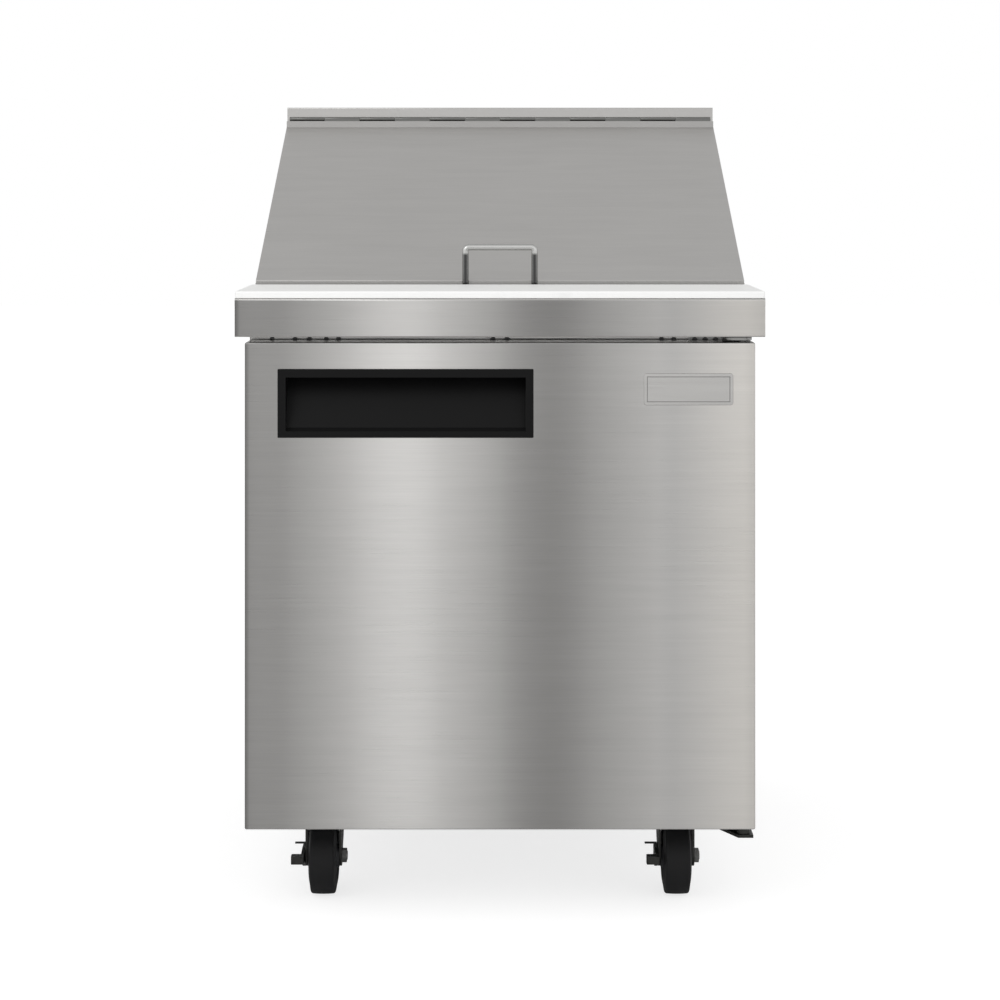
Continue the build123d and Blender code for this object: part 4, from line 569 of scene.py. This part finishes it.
def prism(work, outline, start, along):
    """A solid between an outline (3-D points) and its copy moved by along."""
    near = [work.verts.new(Vector(start) + Vector(point)) for point in outline]
    far = [work.verts.new(Vector(start) + Vector(point) + Vector(along)) for point in outline]
    work.faces.new(near)
    work.faces.new(list(reversed(far)))
    for here in range(len(outline)):
        there = (here + 1) % len(outline)
        work.faces.new((near[there], near[here], far[here], far[there]))


def bar(work, low, high):
    """A block between two corners."""
    wide, deep, tall = (high[axis] - low[axis] for axis in range(3))
    prism(work, [(0, 0, 0), (wide, 0, 0), (wide, deep, 0), (0, deep, 0)], low, (0, 0, tall))


def ring(work, centre, axis, radius, thickness, sides=8, steps=64):
    """A wire ring about an axis; thickness is the wire's own radius."""
    turn = UP.rotation_difference(Vector(axis))
    loops = []
    for outward in circle(steps):
        section = [outward * (radius + point.x) + UP * point.y for point in circle(sides, thickness)]
        loops.append([work.verts.new(Vector(centre) + turn @ point) for point in section])
    for step in range(steps):
        here, there = loops[step], loops[(step + 1) % steps]
        for side in range(sides):
            work.faces.new((here[side], there[side], there[(side + 1) % sides], here[(side + 1) % sides]))


def wire(work, start, end, thickness, sides=8):
    """A straight round wire with closed ends; thickness is its radius."""
    along = Vector(end) - Vector(start)
    turn = UP.rotation_difference(along)
    prism(work, [turn @ point for point in circle(sides, thickness)], start, along)


SCREW_STEPS = 24
SCREW_RINGS = 9
DOME_FALL = 0.92  # 1 would bring the dome down to the sheet at its rim
RECESS_HALF = 0.14  # of the head's radius
RECESS_REACH = 0.55
RECESS_DEPTH = 0.5  # of the head's height


def screw_head(work, centre, normal, radius, height):
    """A domed head with a cross recess pressed into it."""
    turn = UP.rotation_difference(Vector(normal))

    def dome(x, y):
        spread = math.hypot(x, y)
        surface = height * math.sqrt(1.0 - DOME_FALL * spread * spread)
        in_cross = min(abs(x), abs(y)) < RECESS_HALF and spread < RECESS_REACH
        return surface - (RECESS_DEPTH * height if in_cross else 0.0)

    def vertex(local):
        return work.verts.new(Vector(centre) + turn @ local)

    rows = []
    for level in range(1, SCREW_RINGS + 1):
        unit = circle(SCREW_STEPS, level / SCREW_RINGS)
        rows.append([vertex(point * radius + UP * dome(point.x, point.y)) for point in unit])
    rows.append([vertex(point) for point in circle(SCREW_STEPS, radius)])
    middle = vertex(UP * (RECESS_DEPTH * height))
    for step in range(SCREW_STEPS):
        work.faces.new((middle, rows[0][step], rows[0][(step + 1) % SCREW_STEPS]))
    for inner, outer in zip(rows, rows[1:]):
        for step in range(SCREW_STEPS):
            after = (step + 1) % SCREW_STEPS
            work.faces.new((inner[step], outer[step], outer[after], inner[after]))
    work.faces.new(list(reversed(rows[-1])))


def screws(name, places, normal, radius=0.0045, height=0.0016):
    """Screw heads on the cabinet, all facing the same way."""
    def build(work):
        for centre in places:
            screw_head(work, centre, normal, radius, height)

    add_mesh(name, build, zinc, "cabinet")


# The seal's section: millimetres in from its outer edge, and share of its depth.
BELLOWS = [
    (1.0, 0.0), (1.0, 0.22), (4.0, 0.33), (2.2, 0.5), (4.5, 0.66), (2.6, 0.82), (3.6, 0.98),
    (15.4, 0.98), (16.4, 0.82), (14.5, 0.66), (16.8, 0.5), (15.0, 0.33), (18.0, 0.22), (18.0, 0.0),
]


def gasket():
    """The magnetic door seal: a bellows section mitred round the four sides of the door's frame."""
    low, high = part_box("door_gasket")
    depth = high[1] - low[1]

    def build(work):
        loops = []
        for x, z, sx, sz in ((low[0], low[2], 1, 1), (high[0], low[2], -1, 1),
                             (high[0], high[2], -1, -1), (low[0], high[2], 1, -1)):
            loops.append([
                work.verts.new((x + sx * inward / MM_PER_METRE, low[1] + depth * out,
                                z + sz * inward / MM_PER_METRE))
                for inward, out in BELLOWS
            ])
        for corner, loop in enumerate(loops):
            following = loops[(corner + 1) % len(loops)]
            for point in range(len(BELLOWS)):
                after = (point + 1) % len(BELLOWS)
                work.faces.new((loop[point], following[point], following[after], loop[after]))

    piece = add_mesh("gasket_bellows", build, gasket_rubber, "door")
    soften(piece, 0.0005)
    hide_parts("door_gasket")


GUARD_RADIUS = 0.058  # of the outer ring
GUARD_RINGS = 4
GUARD_SPOKES = 4
GUARD_STANDOFF = 0.0024  # from the sheet to the rings' middle
RING_WIRE = 0.0011
SPOKE_WIRE = 0.0012
SPOKE_OVERHANG = 0.006  # past the outer ring


def fan_guard():
    """Concentric wires over the evaporator fan, held by spokes in front of the sheet."""
    blade_low, blade_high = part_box("evaporator_fan_blade")
    centre = (blade_low + blade_high) / 2
    centre.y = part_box("evaporator_housing")[0][1] - GUARD_STANDOFF

    def build(work):
        for turn in range(1, GUARD_RINGS + 1):
            ring(work, centre, (0, 1, 0), GUARD_RADIUS * turn / GUARD_RINGS, RING_WIRE)
        for spoke in range(GUARD_SPOKES):
            angle = math.pi * spoke / GUARD_SPOKES + math.pi / 8
            reach = Vector((math.cos(angle), 0, math.sin(angle))) * (GUARD_RADIUS + SPOKE_OVERHANG)
            behind = Vector((0, SPOKE_WIRE, 0))
            wire(work, centre - reach + behind, centre + reach + behind, SPOKE_WIRE)

    add_mesh("evaporator_fan_guard", build, zinc, "cabinet")


DIAL_MARKS = 11
DIAL_SPAN = 270  # degrees from the first mark to the last
DIAL_GAP = 0.004  # between the knob and the marks
MARK_HALF_WIDTH = 0.0006
MARK_PROUD = 0.0005
LONG_MARK = 0.007
SHORT_MARK = 0.0045


def dial_ticks():
    """Raised marks round the thermostat knob, long ones at the ends and the middle of its turn."""
    low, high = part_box("thermostat_knob")
    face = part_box("evaporator_housing")[0][1]
    centre = Vector(((low[0] + high[0]) / 2, face, (low[2] + high[2]) / 2))
    radius = (high[0] - low[0]) / 2 + DIAL_GAP

    def build(work):
        for mark in range(DIAL_MARKS):
            angle = math.radians(-DIAL_SPAN / 2 + DIAL_SPAN * mark / (DIAL_MARKS - 1))
            outward = Vector((math.sin(angle), 0, math.cos(angle)))
            sideways = Vector((math.cos(angle), 0, -math.sin(angle))) * MARK_HALF_WIDTH
            along = outward * (LONG_MARK if mark in (0, DIAL_MARKS // 2, DIAL_MARKS - 1) else SHORT_MARK)
            outline = [-sideways, sideways, sideways + along, -sideways + along]
            prism(work, outline, centre + outward * radius, (0, -MARK_PROUD, 0))

    add_mesh("dial_ticks", build, black_plastic, "cabinet")


def badge_rim():
    """A thin raised border on the blank badge."""
    low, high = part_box("badge_plate")
    inset, wide, proud = 0.004, 0.0012, 0.0005

    def build(work):
        left, right = low[0] + inset, high[0] - inset
        bottom, top = low[2] + inset, high[2] - inset
        front, back = low[1] - proud, low[1]
        for z in (bottom, top - wide):
            bar(work, (left, front, z), (right, back, z + wide))
        for x in (left, right - wide):
            bar(work, (x, front, bottom + wide), (x + wide, back, top - wide))

    soften(add_mesh("badge_rim", build, badge_edge, "door"), 0.0002)


def lid_hems():
    """The folded lower edge of each side of the lid."""
    low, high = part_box("lid_outer_skin")
    tall, proud = 0.009, 0.0006
    front, back = low[1] + 0.001, high[1] - 0.002
    bottom = low[2] + 0.0004

    def build(work):
        for side in (-1, 1):
            outer = side * high[0]
            near, far = sorted((outer, outer + side * proud))
            bar(work, (near, front, bottom), (far, back, low[2] + tall))

    soften(add_mesh("lid_side_hems", build, lid_steel, "lid"), 0.0002)


RIBS = 8
RIB_HALF_WIDTH = 0.0011
RIB_FOOT = 0.014  # from the wheel's middle plane to the bottom of its dished face
RIB_TOP = 0.0182
HUB_RADIUS = 0.0158


def wheel_ribs(caster):
    """Moulded ribs between the hub and the tyre, on both faces of a wheel."""
    low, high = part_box("caster_wheel_" + caster)
    middle = (low + high) / 2

    def build(work):
        for side in (-1, 1):
            start = middle + Vector((side * RIB_FOOT, 0, 0))
            for rib in range(RIBS):
                angle = 2 * math.pi * rib / RIBS
                outward = Vector((0, math.cos(angle), math.sin(angle)))
                across = Vector((0, -math.sin(angle), math.cos(angle))) * RIB_HALF_WIDTH
                inner, outer = outward * HUB_RADIUS, outward * TYRE_RADIUS
                outline = [inner - across, outer - across, outer + across, inner + across]
                prism(work, outline, start, (side * (RIB_TOP - RIB_FOOT), 0, 0))

    material = NODE_MATERIALS["caster_wheel_" + caster]
    soften(add_mesh("wheel_ribs_" + caster, build, material, "wheel_" + caster), 0.0004)


TIE_X = (-0.150, -0.092)
TIE_WIDE = 0.008
TIE_HALF_Y, TIE_HALF_Z, TIE_CORNER = 0.0052, 0.0275, 0.004
TIE_POINTS = 16
CORD_RADIUS = 0.007  # with its slack against the grille
COIL_HEIGHT = 0.044  # the coil's middle above the cord's lowest point


def cord_ties():
    """Two straps round the coiled supply cord."""
    low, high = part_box("power_cord")
    outline = []
    for turn in range(TIE_POINTS):
        angle = 2 * math.pi * (turn + 0.5) / TIE_POINTS
        outline.append((
            0,
            math.copysign(TIE_HALF_Y - TIE_CORNER, math.cos(angle)) + TIE_CORNER * math.cos(angle),
            math.copysign(TIE_HALF_Z - TIE_CORNER, math.sin(angle)) + TIE_CORNER * math.sin(angle),
        ))

    def build(work):
        for x in TIE_X:
            prism(work, outline, (x, high[1] - CORD_RADIUS, low[2] + COIL_HEIGHT), (TIE_WIDE, 0, 0))

    add_mesh("cord_ties", build, black_plastic, "cabinet")


SCREW_EDGE = 0.012  # from a sheet's edge to its screws
PANEL_ROW_PITCH = 0.13
GRILLE_SHEET = 0.0012
HOOD_SCREW_DROP = 0.05
HOOD_SCREW_INSET = 0.03


def rear_fixings():
    """Screws that hold the rear panel, the grille and the hood's back."""
    backwards = (0, 1, 0)
    low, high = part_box("rear_upper_panel")
    rows = (low[2] + SCREW_EDGE, low[2] + PANEL_ROW_PITCH, low[2] + 2 * PANEL_ROW_PITCH)
    columns = (low[0] + SCREW_EDGE, 0.0, high[0] - SCREW_EDGE)
    screws("rear_panel_screws", [(x, high[1], z) for x in columns for z in rows], backwards)

    low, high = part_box("rear_grille")
    rows = (low[2] + SCREW_EDGE, (low[2] + high[2]) / 2, high[2] - SCREW_EDGE)
    columns = (low[0] + SCREW_EDGE, high[0] - SCREW_EDGE)
    screws("grille_screws", [(x, low[1] + GRILLE_SHEET, z) for x in columns for z in rows], backwards)

    low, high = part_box("hood_housing")
    columns = (low[0] + HOOD_SCREW_INSET, 0.0, high[0] - HOOD_SCREW_INSET)
    screws("hood_screws", [(x, high[1], high[2] - HOOD_SCREW_DROP) for x in columns], backwards)


def housing_fixings():
    """Screws at the corners of the evaporator housing."""
    low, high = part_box("evaporator_housing")
    places = [(x, low[1], z) for x in (low[0] + SCREW_EDGE, high[0] - SCREW_EDGE)
              for z in (low[2] + SCREW_EDGE, high[2] - SCREW_EDGE)]
    screws("housing_screws", places, (0, -1, 0), radius=0.004, height=0.0014)


gasket()
fan_guard()
dial_ticks()
badge_rim()
lid_hems()
for caster in CASTERS:
    wheel_ribs(caster)
cord_ties()
rear_fixings()
housing_fixings()


# ---------------------------------------------------------------- floor, light and camera
WHITE = (1.0, 1.0, 1.0)
FLOOR_HALF = 14.0
FLOOR_WHITE = (0.86, 0.86, 0.86)
ROOM_LIGHT = 1.25
BEHIND = 0.55  # the room's light behind the table, as a share of that in front
OVERHEAD = 0.75
FLOOR_GLOW = 0.74  # what the camera sees of the floor before its soft shadows are added
FLOOR_SHADE = (0.42, 0.42, 0.42)


def studio_floor():
    """A plain pale floor that fades into the white room and keeps the table's soft shadow."""
    mesh = bpy.data.meshes.new("studio_floor")
    half = FLOOR_HALF
    corners = [(-half, -half, 0), (half, -half, 0), (half, half, 0), (-half, half, 0)]
    mesh.from_pydata(corners, [], [(0, 1, 2, 3)])
    floor = bpy.data.objects.new("studio_floor", mesh)
    bpy.context.scene.collection.objects.link(floor)
    material, tree, shader = new_material("studio_floor")
    cloud = remap(tree, noise(tree, 2.0, detail=2.0), 0.99, 1.0)
    connect(tree, shader.inputs["Base Color"], scaled_colour(tree, FLOOR_WHITE, cloud))
    connect(tree, shader.inputs["Roughness"], 0.9)
    connect(tree, shader.inputs["Specular IOR Level"], 0.0)
    glow = node(tree, "ShaderNodeEmission", {"Color": WHITE, "Strength": FLOOR_GLOW})
    shade = node(tree, "ShaderNodeBsdfDiffuse", {"Color": scaled_colour(tree, FLOOR_SHADE, cloud)})
    pale = node(tree, "ShaderNodeAddShader", {0: glow.outputs[0], 1: shade.outputs[0]})
    seen = node(tree, "ShaderNodeLightPath").outputs["Is Camera Ray"]
    mix = node(tree, "ShaderNodeMixShader", {0: seen, 1: shader.outputs[0], 2: pale.outputs[0]})
    connect(tree, tree.nodes["Material Output"].inputs["Surface"], mix.outputs[0])
    mesh.materials.append(material)


def studio_world():
    """A white room that is brightest in front of the table and dims overhead and behind it."""
    world = bpy.data.worlds.new("studio")
    world.use_nodes = True
    bpy.context.scene.world = world
    tree = world.node_tree
    tree.nodes.clear()
    direction = node(tree, "ShaderNodeTexCoord").outputs["Generated"]
    separate = node(tree, "ShaderNodeSeparateXYZ", {0: direction})
    front = ranged(tree, separate.outputs[1], 0.55, -0.6, BEHIND, 1.0, "SMOOTHSTEP")
    overhead = ranged(tree, separate.outputs[2], 0.2, 1.0, 1.0, OVERHEAD, "SMOOTHSTEP")
    seen = node(tree, "ShaderNodeLightPath").outputs["Is Camera Ray"]
    shown = node(tree, "ShaderNodeBackground", {"Color": WHITE, "Strength": 1.0})
    strength = arithmetic(tree, "MULTIPLY", arithmetic(tree, "MULTIPLY", front, overhead), ROOM_LIGHT)
    lighting = node(tree, "ShaderNodeBackground", {"Color": WHITE, "Strength": strength})
    mix = node(tree, "ShaderNodeMixShader", {0: seen, 1: lighting.outputs[0], 2: shown.outputs[0]})
    node(tree, "ShaderNodeOutputWorld", {"Surface": mix.outputs[0]})


def soft_light(name, location, target, size, power):
    light = bpy.data.lights.new(name, "AREA")
    light.shape = "RECTANGLE"
    light.size, light.size_y = size
    light.energy = power
    lamp = bpy.data.objects.new(name, light)
    lamp.location = location
    lamp.rotation_euler = (Vector(target) - Vector(location)).to_track_quat("-Z", "Y").to_euler()
    bpy.context.scene.collection.objects.link(lamp)


CAMERA_DISTANCE = 3.0  # from the counter's front
CAMERA_HEIGHT = 0.979
LENS = 82.08  # millimetres, as is the sensor
SENSOR = 36.0
SHIFT_DOWN = -0.322  # of the picture's width
SHIFT_OF_MODE = ((0, 0.0), (1, SHIFT_DOWN), (2, 0.0))  # by rotation mode: 0 is quaternion, 1 is XYZ


def photo_camera():
    """A level camera straight in front, its lens shifted down so that upright edges stay upright."""
    low, high = cad_box
    data = bpy.data.cameras.new("photo_camera")
    data.lens = LENS
    data.sensor_width = SENSOR
    camera = bpy.data.objects.new("photo_camera", data)
    camera.location = ((low[0] + high[0]) / 2, low[1] - CAMERA_DISTANCE, CAMERA_HEIGHT)
    camera.rotation_euler = (math.radians(90.0), 0.0, 0.0)
    bpy.context.scene.collection.objects.link(camera)
    bpy.context.scene.camera = camera

    # The shift belongs to this place alone. A camera turned by quaternion stands elsewhere and has none.
    curve = data.driver_add("shift_y")
    curve.driver.type = "AVERAGE"
    variable = curve.driver.variables.new()
    variable.name = "mode"
    variable.targets[0].id = camera
    variable.targets[0].data_path = "rotation_mode"
    for modifier in list(curve.modifiers):
        curve.modifiers.remove(modifier)
    for mode, shift in SHIFT_OF_MODE:
        curve.keyframe_points.insert(mode, shift).interpolation = "LINEAR"


studio_floor()
studio_world()
soft_light("key", (-1.8, -2.6, 2.6), (0.0, 0.0, 0.6), (1.6, 1.6), 14.0)
photo_camera()
bpy.context.scene.view_settings.view_transform = "Standard"

bpy.context.view_layer.update()
